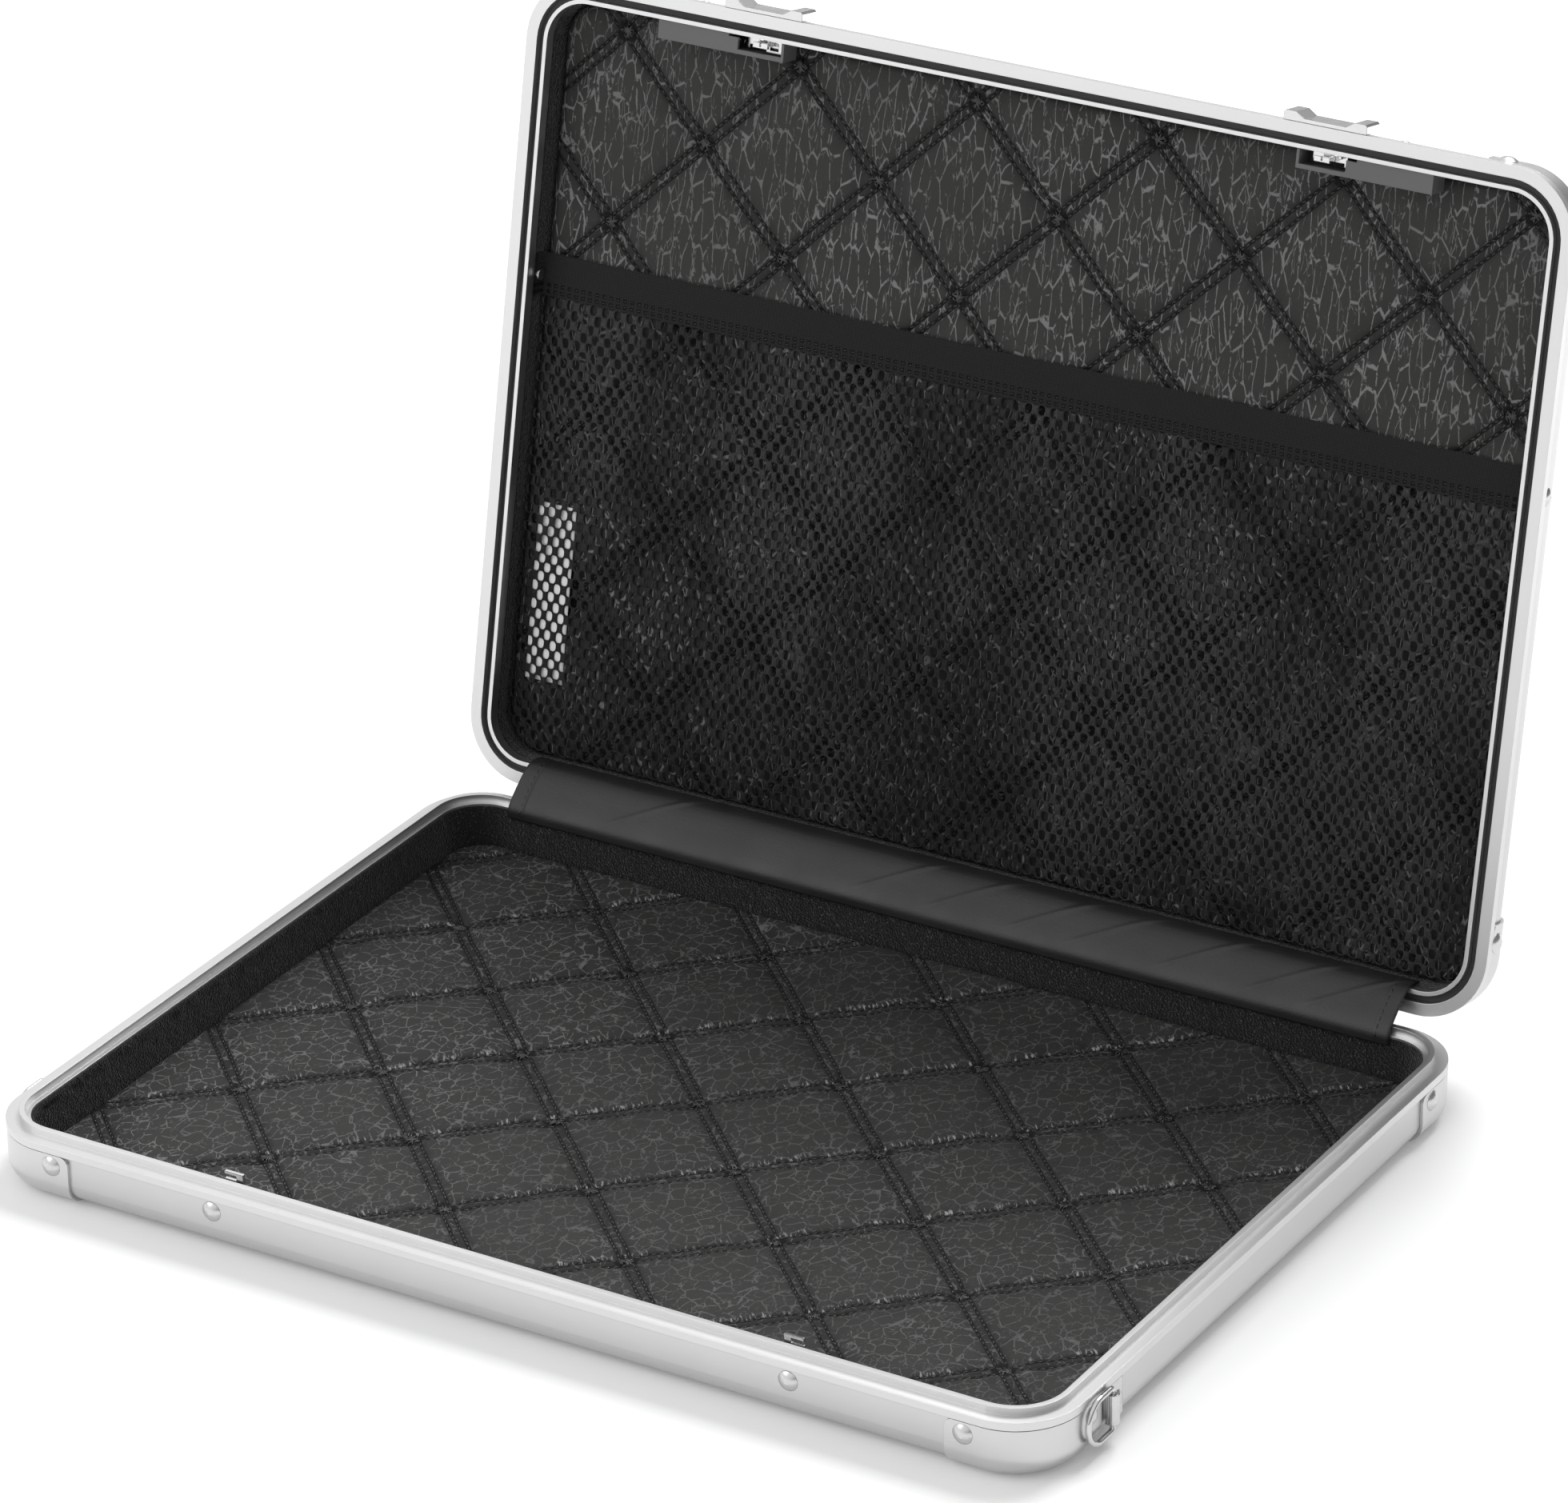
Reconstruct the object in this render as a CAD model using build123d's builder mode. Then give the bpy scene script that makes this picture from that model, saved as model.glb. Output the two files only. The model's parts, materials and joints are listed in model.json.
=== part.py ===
"""Slim aluminium laptop case, standing open: two shallow shells on a piano hinge.

Sizes are in millimetres. X runs along the hinge, Y from the front to the hinge and Z up.
The origin is the centre of the base shell's underside. Every piece of the lid is drawn shut,
over the base, and is turned about the hinge to the open position when it is written.

The rim is a bent extrusion. Its profile is given as insets, measured inwards from the
case's outer faces, and as heights from the rim plane.
"""

from build123d import *
import os
from math import atan2, cos, degrees, hypot, radians, sin

os.makedirs("parts", exist_ok=True)

# ------------------------------------------------------------------ driving sizes
case_width = 392.0
case_depth = 283.0
corner_radius = 23.0
base_height = 20.0  # base shell's underside to the base's rim plane
lid_room = 11.0  # from the web of the lid's rim to the top of its shell
rim_gap = 0.3  # between the two rim planes when shut
open_angle = 101.8  # where the lid leans back, from shut

# Shells and their edges.
shell_thickness = 1.0
shell_inset = 1.2
edge_radius = 7.0
slip = 0.05  # assembly clearance between sheet pieces that lie on each other

# Rim extrusions: the base carries a tongue, the lid a groove with a seal.
band_height = 2.8
web_thickness = 1.6
rail_thickness = 1.0  # inner leg that the rivets go through
base_rail_reach = 13.0
tongue_inset = 4.4
tongue_width = 1.9
tongue_height = 2.55
ledge_width = 1.8
ledge_thickness = 0.9
groove_inset = 4.2
groove_width = 2.6
groove_floor = 0.8
groove_wall = 1.2
lip_width = 1.4
gasket_thickness = 0.9
gasket_gap = 0.1
gasket_to_tongue = 0.25  # left when the lid is shut

# Corner caps, pressed from sheet, over the shells' corners.
cap_thickness = 1.0
cap_leg = 35.0
cap_reach_under = 16.0
cap_corner = 3.0
cap_seam = 0.3

# Rivets.
shank_radius = 1.5
hole_play = 0.05
tail_radius = 2.0
tail_height = 0.8
cap_head_radius = 3.5
cap_head_height = 1.5
small_head_radius = 3.0
small_head_height = 1.3
leaf_head_radius = 2.1
leaf_head_height = 0.9
base_rivet_drop = 7.2  # rim plane to the rivets' centres
tail_room = 0.1  # round the lid rivets' tails
cap_rivet_from_corner = 28.5

# Hinge.
hinge_end_gap = 2.0  # between a corner cap and the end of the hinge
knuckle_count = 11
knuckle_radius = 2.1
knuckle_gap = 0.2
pin_radius = 1.0
pin_play = 0.05
leaf_thickness = 1.0
leaf_reach = 10.0
leaf_rivet_pitch = 60.0

# Linings, pads and what lies on them.
lining_inset = 7.6
lining_thickness = 0.8
lining_play = 0.1
pad_play = 0.3
base_pad_thickness = 4.9
lid_pad_thickness = 4.4
pad_edge_radius = 2.5
quilt_pitch_x = 68.0
quilt_pitch_y = 66.0
channel_radius = 5.0
channel_depth = 1.1
base_quilt_start = (-153.0, 8.5)  # one crossing of the base pad's channels
lid_quilt_start = (-95.0, -58.5)

elastic_width = 15.0
elastic_thickness = 0.8
elastic_y = -36.5
elastic_tab = 5.1
net_thickness = 0.4
net_columns = 24
net_rows = 12
net_hem = 5.0
net_bar = 3.6
label_width = 15.0
label_length = 63.0
label_thickness = 0.25
label_from_left = 22.5
label_from_rear = 67.0

flap_side_gap = 17.6  # between the flap's ends and the side linings
flap_thickness = 0.6
flap_tail = 5.3
flap_bend = 1.4

# Strikers on the base and the latches on the lid that catch them.
latch_centre = 103.0
striker_width = 7.0
striker_thickness = 1.2
striker_from_front = 10.5
striker_stem_width = 2.5
striker_nose_height = 1.0
striker_rise = 3.2
striker_foot_width = 10.5
striker_foot_height = 7.5
striker_rivet_offset = 3.0
catch_gap = 0.3

latch_travel = 5.0
bar_length = 30.0
bar_height = 9.0
bar_reach = 13.0  # from the latch's centre towards the case's middle
bar_plate = 1.3
bar_wedge = 3.2
bar_wedge_length = 4.5
bar_slope_length = 3.0
bar_drop = 0.5
bar_play = 0.1
stem_length = 10.0
stem_height = 2.6
stem_reach = 3.0
stem_room = 0.5  # over the lid's web
slot_play = 0.2
spigot_radius = 1.0

housing_reach = 7.0
housing_length = 49.0
housing_wall = 1.0
housing_depth = 6.5
housing_drop = 0.7
window_width = 5.0
window_room = 0.8  # past the bolt's foot when it is drawn back
bolt_thickness = 1.0
bolt_length = 13.4
bolt_foot_length = 5.7
bolt_slit = 0.5
loop_length = 6.0
loop_width = 4.6
loop_rail = 1.4
spring_radius = 1.2
spring_wire = 0.5
lug_length = 10.0
lug_height = 3.8
lug_from_start = 35.0

# D-rings near the front corners of the base.
ring_wire_radius = 1.0
ring_height = 15.0  # between wire centres
ring_reach = 15.5
ring_corner = 2.0
ring_from_front = 39.0
ring_drop = 9.5  # rim plane to the ring's middle
ring_play = 0.05
ear_thickness = 1.0
ear_height = 13.0
ear_length = 9.0
ear_knuckle_radius = 2.0
ear_knuckle_length = 10.5
ear_rivet_from_axis = 5.4

# ------------------------------------------------------------------ worked out from them
half_width = case_width / 2
half_depth = case_depth / 2
lid_rim = base_height + rim_gap
hinge_length = case_width - 2 * (cap_leg + hinge_end_gap)
hinge_behind = leaf_thickness + knuckle_radius  # axis behind the rear faces
hinge_y = half_depth + hinge_behind
hinge_z = base_height
hinge_axis = Axis((0, hinge_y, hinge_z), (1, 0, 0))

cap_inset = shell_inset - slip - cap_thickness
band_width = shell_inset - slip
rail_inset = shell_inset + shell_thickness + slip
rail_back = rail_inset + rail_thickness
ledge_inset = tongue_inset + tongue_width + ledge_width
lip_inset = groove_inset + groove_width + lip_width
groove_depth = tongue_height - rim_gap + gasket_to_tongue + gasket_thickness
lid_web_top = lid_rim + groove_depth + groove_floor
lid_top = lid_web_top + lid_room
lining_face = lining_inset + lining_thickness
pad_inset = lining_face + pad_play
base_pad_bottom = shell_thickness + lining_play
base_pad_top = base_pad_bottom + base_pad_thickness
lid_pad_back = lid_top - shell_thickness - lining_play
lid_pad_face = lid_pad_back - lid_pad_thickness
base_rivet_z = base_height - base_rivet_drop
lid_rivet_z = lid_web_top + tail_radius + tail_room
lid_rail_top = lid_rivet_z + tail_radius + tail_room
hole_radius = shank_radius + hole_play
ring_z = base_height - ring_drop
ring_axis_y = ring_from_front - half_depth
striker_y = striker_from_front - half_depth
striker_rivet_x = latch_centre + striker_rivet_offset
bar_start = latch_centre - bar_reach
stem_start = latch_centre - stem_reach
housing_start = latch_centre - housing_reach
lug_x = housing_start + lug_from_start


# ------------------------------------------------------------------ shared shapes
def outline(inset, mode=Mode.ADD):
    """Sketch the case's rounded outline, drawn in by an inset."""
    radius = corner_radius - inset
    RectangleRounded(case_width - 2 * inset, case_depth - 2 * inset, radius, mode=mode)


def ring(outer_inset, inner_inset, low, high):
    """Add a band that follows the outline between two insets and two heights."""
    with BuildSketch(Plane.XY.offset(low)) as band:
        outline(outer_inset)
        outline(inner_inset, mode=Mode.SUBTRACT)
    extrude(band.sketch, amount=high - low)


def block(x_range, y_range, z_range, mode=Mode.ADD):
    """Add or cut a block between two places on each axis, given in either order."""
    (x1, x2), (y1, y2), (z1, z2) = sorted(x_range), sorted(y_range), sorted(z_range)
    with BuildSketch(Plane.XY.offset(z1)) as foot:
        with Locations(((x1 + x2) / 2, (y1 + y2) / 2)):
            Rectangle(x2 - x1, y2 - y1)
    extrude(foot.sketch, amount=z2 - z1, mode=mode)


def rounded_body(inset, closed_end, open_end, radius):
    """Return a solid of the case's outline whose edge at the closed end is rounded off."""
    with BuildPart() as body:
        with BuildSketch(Plane.XY.offset(closed_end)) as foot:
            outline(inset)
        extrude(foot.sketch, amount=open_end - closed_end)
        end = 0 if closed_end < open_end else -1
        fillet(body.edges().group_by(Axis.Z)[end], radius)
    return body.part


def rivet(head_radius, head_height, grip):
    """Return a rivet with its seat at the origin, its head along +Z and its tail along -Z."""
    tail_end = -grip - tail_height
    with BuildPart() as body:
        with BuildSketch(Plane.XZ) as half:
            with BuildLine():
                TangentArc((0, head_height), (head_radius, 0), tangent=(1, 0))
                Polyline(
                    (head_radius, 0),
                    (shank_radius, 0),
                    (shank_radius, -grip),
                    (tail_radius, -grip),
                    (tail_radius, tail_end),
                    (0, tail_end),
                    (0, head_height),
                )
            make_face()
        revolve(half.sketch, axis=Axis.Z)
    return body.part


def on_front(x, height, inset=0.0):
    """Return the plane of the front face, or of an inset from it, facing outwards."""
    return Plane((x, inset - half_depth, height), x_dir=(1, 0, 0), z_dir=(0, -1, 0))


def on_rear(x, height, inset=0.0):
    """Return the plane of the rear face, or of an inset from it, facing outwards."""
    return Plane((x, half_depth - inset, height), x_dir=(1, 0, 0), z_dir=(0, 1, 0))


def on_side(side, y, height, inset=0.0):
    """Return the plane of the left (-1) or right (+1) face, or of an inset from it."""
    return Plane((side * (half_width - inset), y, height), x_dir=(0, 1, 0), z_dir=(side, 0, 0))


def drill(planes, depth=2 * rail_back, radius=hole_radius):
    """Cut a round hole inwards at each plane."""
    with Locations(*planes):
        Hole(radius, depth=depth)


def place(solid, planes):
    """Add a copy of a solid at each plane."""
    with Locations(*planes):
        add(solid)


def write(piece, name):
    """Label a finished piece and write its file."""
    piece.part.label = name
    export_step(piece.part, f"parts/{name}.step")


def write_opened(piece, name):
    """Turn a piece that was drawn shut to the open position, label it and write its file."""
    opened = piece.part.rotate(hinge_axis, -open_angle)
    opened.label = name
    export_step(opened, f"parts/{name}.step")


# ------------------------------------------------------------------ where the rivets go
corner_x = half_width - cap_rivet_from_corner
corner_y = half_depth - cap_rivet_from_corner
leaf_rivet_pitches = int(hinge_length / leaf_rivet_pitch)
leaf_rivets_x = [
    (index - leaf_rivet_pitches / 2) * leaf_rivet_pitch for index in range(leaf_rivet_pitches + 1)
]


def cap_planes(side, end, height, inset=0.0):
    """Return the planes of one corner cap's two rivets; end is -1 in front and +1 behind."""
    across = on_front if end < 0 else on_rear
    return [across(side * corner_x, height, inset), on_side(side, end * corner_y, height, inset)]


def all_cap_planes(height, inset=0.0):
    """Return the planes of the rivets of all four corner caps."""
    corners = [(side, end) for side in (-1, 1) for end in (-1, 1)]
    return [plane for side, end in corners for plane in cap_planes(side, end, height, inset)]


def leaf_planes(height, inset=0.0):
    """Return the planes of the hinge leaf's rivets."""
    return [on_rear(x, height, inset) for x in leaf_rivets_x]


def striker_planes(inset=0.0):
    """Return the planes of the two rivets that hold the strikers."""
    return [on_front(side * striker_rivet_x, base_rivet_z, inset) for side in (-1, 1)]


def ear_planes(inset=0.0):
    """Return the planes of the two rivets that hold the D-ring ears."""
    ear_y = ring_axis_y + ear_rivet_from_axis
    return [on_side(side, ear_y, ring_z, inset) for side in (-1, 1)]


def elastic_planes(inset=0.0):
    """Return the planes of the two rivets at the elastic band's ends."""
    return [on_side(side, elastic_y, lid_rivet_z, inset) for side in (-1, 1)]


def lug_planes(inset=0.0):
    """Return the planes of the two rivets that hold the latch housings."""
    return [on_front(side * lug_x, lid_rivet_z, inset) for side in (-1, 1)]


# ------------------------------------------------------------------ base shell and rim
base_outer = rounded_body(shell_inset, 0, base_height - web_thickness, edge_radius)
base_hollow = rounded_body(
    shell_inset + shell_thickness,
    shell_thickness,
    base_height,
    edge_radius - shell_thickness,
)
base_holes = all_cap_planes(base_rivet_z) + leaf_planes(base_rivet_z)
base_holes += striker_planes() + ear_planes()

with BuildPart() as base_shell:
    add(base_outer)
    add(base_hollow, mode=Mode.SUBTRACT)
    drill(base_holes)
write(base_shell, "base_shell")

base_web = base_height - web_thickness
with BuildPart() as base_frame:
    ring(0, band_width, base_height - band_height, base_height)
    ring(0, tongue_inset, base_web, base_height)
    ring(rail_inset, rail_back, base_height - base_rail_reach, base_web)
    ring(tongue_inset, tongue_inset + tongue_width, base_web, base_height + tongue_height)
    ring(tongue_inset + tongue_width, ledge_inset, base_height - ledge_thickness, base_height)
    drill(base_holes)
write(base_frame, "base_frame")

# ------------------------------------------------------------------ lid shell and rim
lid_web = lid_rim + web_thickness
lid_outer = rounded_body(shell_inset, lid_top, lid_web, edge_radius)
lid_hollow = rounded_body(
    shell_inset + shell_thickness,
    lid_top - shell_thickness,
    lid_rim,
    edge_radius - shell_thickness,
)
lid_holes = all_cap_planes(lid_rivet_z) + leaf_planes(lid_rivet_z)
lid_holes += elastic_planes() + lug_planes()
stem_low = lid_web_top + stem_room
stem_high = stem_low + stem_height


def cut_stem_slots():
    """Cut the slots that the two latch stems slide in through the lid's front wall."""
    slot_end = stem_start + stem_length + latch_travel + slot_play
    for side in (-1, 1):
        block(
            (side * (stem_start - slot_play), side * slot_end),
            (-half_depth, rail_back - half_depth + slip),
            (stem_low - slot_play, stem_high + slot_play),
            mode=Mode.SUBTRACT,
        )


with BuildPart() as lid_shell:
    add(lid_outer)
    add(lid_hollow, mode=Mode.SUBTRACT)
    drill(lid_holes)
    cut_stem_slots()
write_opened(lid_shell, "lid_shell")

groove_outer = groove_inset + groove_width
with BuildPart() as lid_frame:
    ring(0, band_width, lid_rim, lid_rim + band_height)
    ring(0, groove_inset, lid_rim, lid_web)
    ring(rail_inset, rail_back, lid_web, lid_rail_top)
    ring(groove_inset - groove_wall, groove_inset, lid_web, lid_web_top)
    ring(groove_inset - groove_wall, lip_inset, lid_rim + groove_depth, lid_web_top)
    ring(groove_outer, lip_inset, lid_rim, lid_web_top)
    drill(lid_holes)
    cut_stem_slots()
write_opened(lid_frame, "lid_frame")

with BuildPart() as lid_gasket:
    ring(
        groove_inset + gasket_gap,
        groove_outer - gasket_gap,
        lid_rim + groove_depth - gasket_thickness,
        lid_rim + groove_depth,
    )
write_opened(lid_gasket, "lid_gasket")

# ------------------------------------------------------------------ corner caps
corner_names = {
    (-1, -1): "front_left",
    (1, -1): "front_right",
    (-1, 1): "rear_left",
    (1, 1): "rear_right",
}
cap_skin_inset = cap_inset + cap_thickness
cap_edge_radius = edge_radius + cap_thickness


def corner_cap(side, end, closed_end, open_end, rivet_z):
    """Return one pressed cap: a skin over the corner, turned in over the shell's flat side."""
    up = 1 if open_end > closed_end else -1
    skin = closed_end + up * cap_thickness
    cap_outer = rounded_body(cap_inset, closed_end, open_end, cap_edge_radius)
    cap_hollow = rounded_body(cap_skin_inset, skin, open_end, cap_edge_radius - cap_thickness)
    x_end, y_end = side * half_width, end * half_depth
    heights = (closed_end, open_end)
    with BuildPart() as cap:
        add(cap_outer)
        add(cap_hollow, mode=Mode.SUBTRACT)
        block((x_end, x_end - side * cap_leg), (y_end, y_end - end * cap_leg), heights, Mode.INTERSECT)
        with BuildSketch(Plane.XY.offset(min(heights))) as inside:
            outline(cap_reach_under)
        extrude(inside.sketch, amount=abs(open_end - closed_end), mode=Mode.SUBTRACT)
        leg_ends = cap.edges().filter_by(
            lambda edge: edge.length < 2 * cap_thickness and abs(edge.center().Z - open_end) < slip
        )
        fillet(leg_ends, cap_corner)
        drill(cap_planes(side, end, rivet_z))
    return cap


for (side, end), corner in corner_names.items():
    base_cap = corner_cap(
        side,
        end,
        -cap_thickness - slip,
        base_height - band_height - cap_seam,
        base_rivet_z,
    )
    write(base_cap, f"base_corner_cap_{corner}")
    lid_cap = corner_cap(
        side,
        end,
        lid_top + cap_thickness + slip,
        lid_rim + band_height + cap_seam,
        lid_rivet_z,
    )
    write_opened(lid_cap, f"lid_corner_cap_{corner}")

cap_rivet = rivet(cap_head_radius, cap_head_height, rail_back - cap_inset)
with BuildPart() as base_corner_rivets:
    place(cap_rivet, all_cap_planes(base_rivet_z, cap_inset))
write(base_corner_rivets, "base_corner_rivets")

with BuildPart() as lid_corner_rivets:
    place(cap_rivet, all_cap_planes(lid_rivet_z, cap_inset))
write_opened(lid_corner_rivets, "lid_corner_rivets")


# ------------------------------------------------------------------ piano hinge
def knuckle_centres(first):
    """Return the middles of every second knuckle along the hinge, from the one given."""
    pitch = hinge_length / knuckle_count
    return [(index + 0.5) * pitch - hinge_length / 2 for index in range(first, knuckle_count, 2)]


def hinge_leaf(rim_plane, away, rivet_z, first_knuckle):
    """Return a leaf: a plate that steps over the rim band, with its rolled knuckles.

    away is -1 for the base, whose plate hangs down from the rim, and +1 for the lid.
    """
    wall = half_depth - shell_inset + slip
    band = half_depth
    step = band_height + cap_seam
    knuckle_length = hinge_length / knuckle_count - knuckle_gap
    near = rim_plane + away * (knuckle_radius - leaf_thickness)
    with BuildPart() as leaf:
        with BuildSketch(Plane.YZ.offset(-hinge_length / 2)) as plate:
            with BuildLine():
                Polyline(
                    (wall, rim_plane + away * leaf_reach),
                    (wall + leaf_thickness, rim_plane + away * leaf_reach),
                    (wall + leaf_thickness, rim_plane + away * (step + leaf_thickness)),
                    (band + leaf_thickness, rim_plane + away * (step + leaf_thickness)),
                    (band + leaf_thickness, near),
                    (band, near),
                    (band, rim_plane + away * step),
                    (wall, rim_plane + away * step),
                    close=True,
                )
            make_face()
        extrude(plate.sketch, amount=hinge_length)
        roll_far = hinge_z + away * knuckle_radius
        for middle in knuckle_centres(first_knuckle):
            with BuildSketch(Plane.YZ.offset(middle - knuckle_length / 2)) as knuckle:
                with Locations((hinge_y, hinge_z)):
                    Circle(knuckle_radius)
                with Locations(((band + hinge_y) / 2, roll_far - away * leaf_thickness / 2)):
                    Rectangle(hinge_behind, leaf_thickness)
                with Locations((hinge_y, hinge_z)):
                    Circle(pin_radius + pin_play, mode=Mode.SUBTRACT)
            extrude(knuckle.sketch, amount=knuckle_length)
        drill(leaf_planes(rivet_z, -leaf_thickness))
    return leaf


base_leaf = hinge_leaf(base_height, -1, base_rivet_z, first_knuckle=0)
write(base_leaf, "hinge_base_leaf")
lid_leaf = hinge_leaf(lid_rim, 1, lid_rivet_z, first_knuckle=1)
write_opened(lid_leaf, "hinge_lid_leaf")

with BuildPart() as hinge_pin:
    with BuildSketch(Plane.YZ.offset(-hinge_length / 2)):
        with Locations((hinge_y, hinge_z)):
            Circle(pin_radius)
    extrude(amount=hinge_length)
write(hinge_pin, "hinge_pin")

leaf_seat = shell_inset - slip - leaf_thickness
leaf_rivet = rivet(leaf_head_radius, leaf_head_height, rail_back - leaf_seat)
with BuildPart() as hinge_base_rivets:
    place(leaf_rivet, leaf_planes(base_rivet_z, leaf_seat))
write(hinge_base_rivets, "hinge_base_rivets")

with BuildPart() as hinge_lid_rivets:
    place(leaf_rivet, leaf_planes(lid_rivet_z, leaf_seat))
write_opened(hinge_lid_rivets, "hinge_lid_rivets")

# ------------------------------------------------------------------ strikers
# Each is a bracket: a foot riveted behind the front wall, an arm under the rim's ledge and
# a plate that rises in front of the lining to a hook, whose nose points outwards.
striker_front = striker_y - striker_thickness / 2
striker_back = striker_y + striker_thickness / 2
foot_front = rail_back + slip - half_depth
foot_back = foot_front + striker_thickness
foot_top = base_rivet_z + striker_foot_height / 2
foot_bottom = base_rivet_z - striker_foot_height / 2
hook_start = latch_centre - striker_width / 2
hook_end = latch_centre + striker_width / 2
hook_top = base_height + striker_rise
throat_top = hook_top - striker_nose_height
throat_bottom = throat_top - bolt_thickness - 2 * catch_gap


def striker(side):
    """Return the left (-1) or right (+1) striker."""
    xs = (side * hook_start, side * hook_end)
    with BuildPart() as hook:
        block(
            (side * hook_start, side * (hook_start + striker_foot_width)),
            (foot_front, foot_back),
            (foot_bottom, foot_top),
        )
        block(xs, (foot_front, striker_back), (foot_top - striker_thickness, foot_top))
        block(xs, (striker_front, striker_back), (foot_top - striker_thickness, hook_top))
        block(
            (side * (hook_start + striker_stem_width), side * (hook_end + slip)),
            (striker_front, striker_back),
            (throat_bottom, throat_top),
            mode=Mode.SUBTRACT,
        )
        drill([on_front(side * striker_rivet_x, base_rivet_z)])
    return hook


write(striker(-1), "striker_left")
write(striker(1), "striker_right")

striker_rivet = rivet(cap_head_radius, cap_head_height, half_depth - shell_inset + foot_back)
with BuildPart() as striker_rivets:
    place(striker_rivet, striker_planes(shell_inset))
write(striker_rivets, "striker_rivets")


# ------------------------------------------------------------------ D-rings and their ears
ear_inset = shell_inset - slip
ear_plate_out = half_width - ear_inset + ear_thickness
ring_axis_x = ear_plate_out + ear_knuckle_radius - ear_thickness / 4
ear_rivet_inset = ear_inset - ear_thickness


def dring_ear(side):
    """Return an ear: a riveted plate, rolled into a tube at its front edge."""
    with BuildPart() as ear:
        block(
            (side * (half_width - ear_inset), side * ear_plate_out),
            (ring_axis_y, ring_axis_y + ear_length),
            (ring_z - ear_height / 2, ring_z + ear_height / 2),
        )
        with BuildSketch(Plane.XY.offset(ring_z - ear_knuckle_length / 2)) as tube:
            with Locations((side * ring_axis_x, ring_axis_y)):
                Circle(ear_knuckle_radius)
        extrude(tube.sketch, amount=ear_knuckle_length)
        with BuildSketch(Plane.XY.offset(ring_z - ear_height / 2)) as bore:
            with Locations((side * ring_axis_x, ring_axis_y)):
                Circle(ring_wire_radius + ring_play)
        extrude(bore.sketch, amount=ear_height, mode=Mode.SUBTRACT)
        drill([on_side(side, ring_axis_y + ear_rivet_from_axis, ring_z, ear_rivet_inset)])
    return ear


def dring(side):
    """Return a D-ring: a wire with one straight leg in its ear and a round far side."""
    x = side * ring_axis_x
    bow_radius = ring_height / 2
    top = ring_z + bow_radius
    bottom = ring_z - bow_radius
    turn_y = ring_axis_y - ring_corner
    bow_y = ring_axis_y - ring_reach + bow_radius
    leg_top = top - ring_corner
    leg_bottom = bottom + ring_corner
    bends = (
        (Plane((x, ring_axis_y, leg_top), z_dir=(0, 0, 1)), (x, turn_y, leg_top), 90),
        (Plane((x, bow_y, top), z_dir=(0, -1, 0)), (x, bow_y, ring_z), 180),
        (Plane((x, turn_y, bottom), z_dir=(0, 1, 0)), (x, turn_y, leg_bottom), 90),
    )
    with BuildPart() as loop:
        with BuildSketch(Plane((x, ring_axis_y, leg_bottom), z_dir=(0, 0, 1))) as leg:
            Circle(ring_wire_radius)
        extrude(leg.sketch, amount=leg_top - leg_bottom)
        for z in (top, bottom):
            with BuildSketch(Plane((x, turn_y, z), z_dir=(0, -1, 0))) as arm:
                Circle(ring_wire_radius)
            extrude(arm.sketch, amount=turn_y - bow_y)
        for face, pivot, turn in bends:
            with BuildSketch(face) as bend:
                Circle(ring_wire_radius)
            revolve(bend.sketch, axis=Axis(pivot, (1, 0, 0)), revolution_arc=turn)
    return loop


for side, name in ((-1, "left"), (1, "right")):
    write(dring_ear(side), f"dring_ear_{name}")
    write(dring(side), f"dring_{name}")

ear_rivet = rivet(small_head_radius, small_head_height, rail_back - ear_rivet_inset)
with BuildPart() as dring_ear_rivets:
    place(ear_rivet, ear_planes(ear_rivet_inset))
write(dring_ear_rivets, "dring_ear_rivets")

# ------------------------------------------------------------------ wall linings
lining_bottom = shell_thickness + lining_play
ledge_underside = base_height - ledge_thickness
with BuildPart() as base_wall_lining:
    ring(lining_inset, lining_face, lining_bottom, ledge_underside)
    for side in (-1, 1):
        block(
            (side * (hook_start - slot_play), side * (hook_end + slot_play)),
            (lining_inset - half_depth - slip, lining_face - half_depth + slip),
            (foot_top - striker_thickness - slot_play, foot_top + slot_play),
            mode=Mode.SUBTRACT,
        )
write(base_wall_lining, "base_wall_lining")

housing_end = housing_start + housing_length
with BuildPart() as lid_wall_lining:
    ring(lining_inset, lining_face, lid_web_top, lid_pad_back)
    for side in (-1, 1):
        block(
            (side * (housing_start - pad_play), side * (housing_end + pad_play)),
            (lining_inset - half_depth - slip, lining_face - half_depth + slip),
            (lid_web_top - slip, lid_pad_face),
            mode=Mode.SUBTRACT,
        )
    drill(elastic_planes(), depth=lining_face + slip)
write_opened(lid_wall_lining, "lid_wall_lining")


# ------------------------------------------------------------------ quilted pads
def channel_planes(start, surface):
    """Return the start of each sewn channel, pointing along it.

    The channels are two families of slanted lines, which cross at the quilting's corners.
    """
    slope = degrees(atan2(quilt_pitch_y, quilt_pitch_x))
    reach = case_width + case_depth
    planes = []
    for lean in (-1, 1):
        direction = (cos(radians(slope)), lean * sin(radians(slope)), 0)
        count = int(reach / quilt_pitch_x) + 1
        for index in range(-count, count + 1):
            x = start[0] + index * quilt_pitch_x
            shift = reach / cos(radians(slope))
            origin = (x - shift * direction[0], start[1] - shift * direction[1], surface)
            planes.append(Plane(origin, z_dir=direction))
    return planes


def crosses_pad(plane):
    """Say whether a channel comes near enough to the pad to mark it."""
    direction = plane.z_dir
    distance = abs(plane.origin.X * direction.Y - plane.origin.Y * direction.X)
    half_x, half_y = half_width - pad_inset, half_depth - pad_inset
    corner_distance = half_x * abs(direction.Y) + half_y * abs(direction.X)
    return distance < corner_distance - corner_radius


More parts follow.
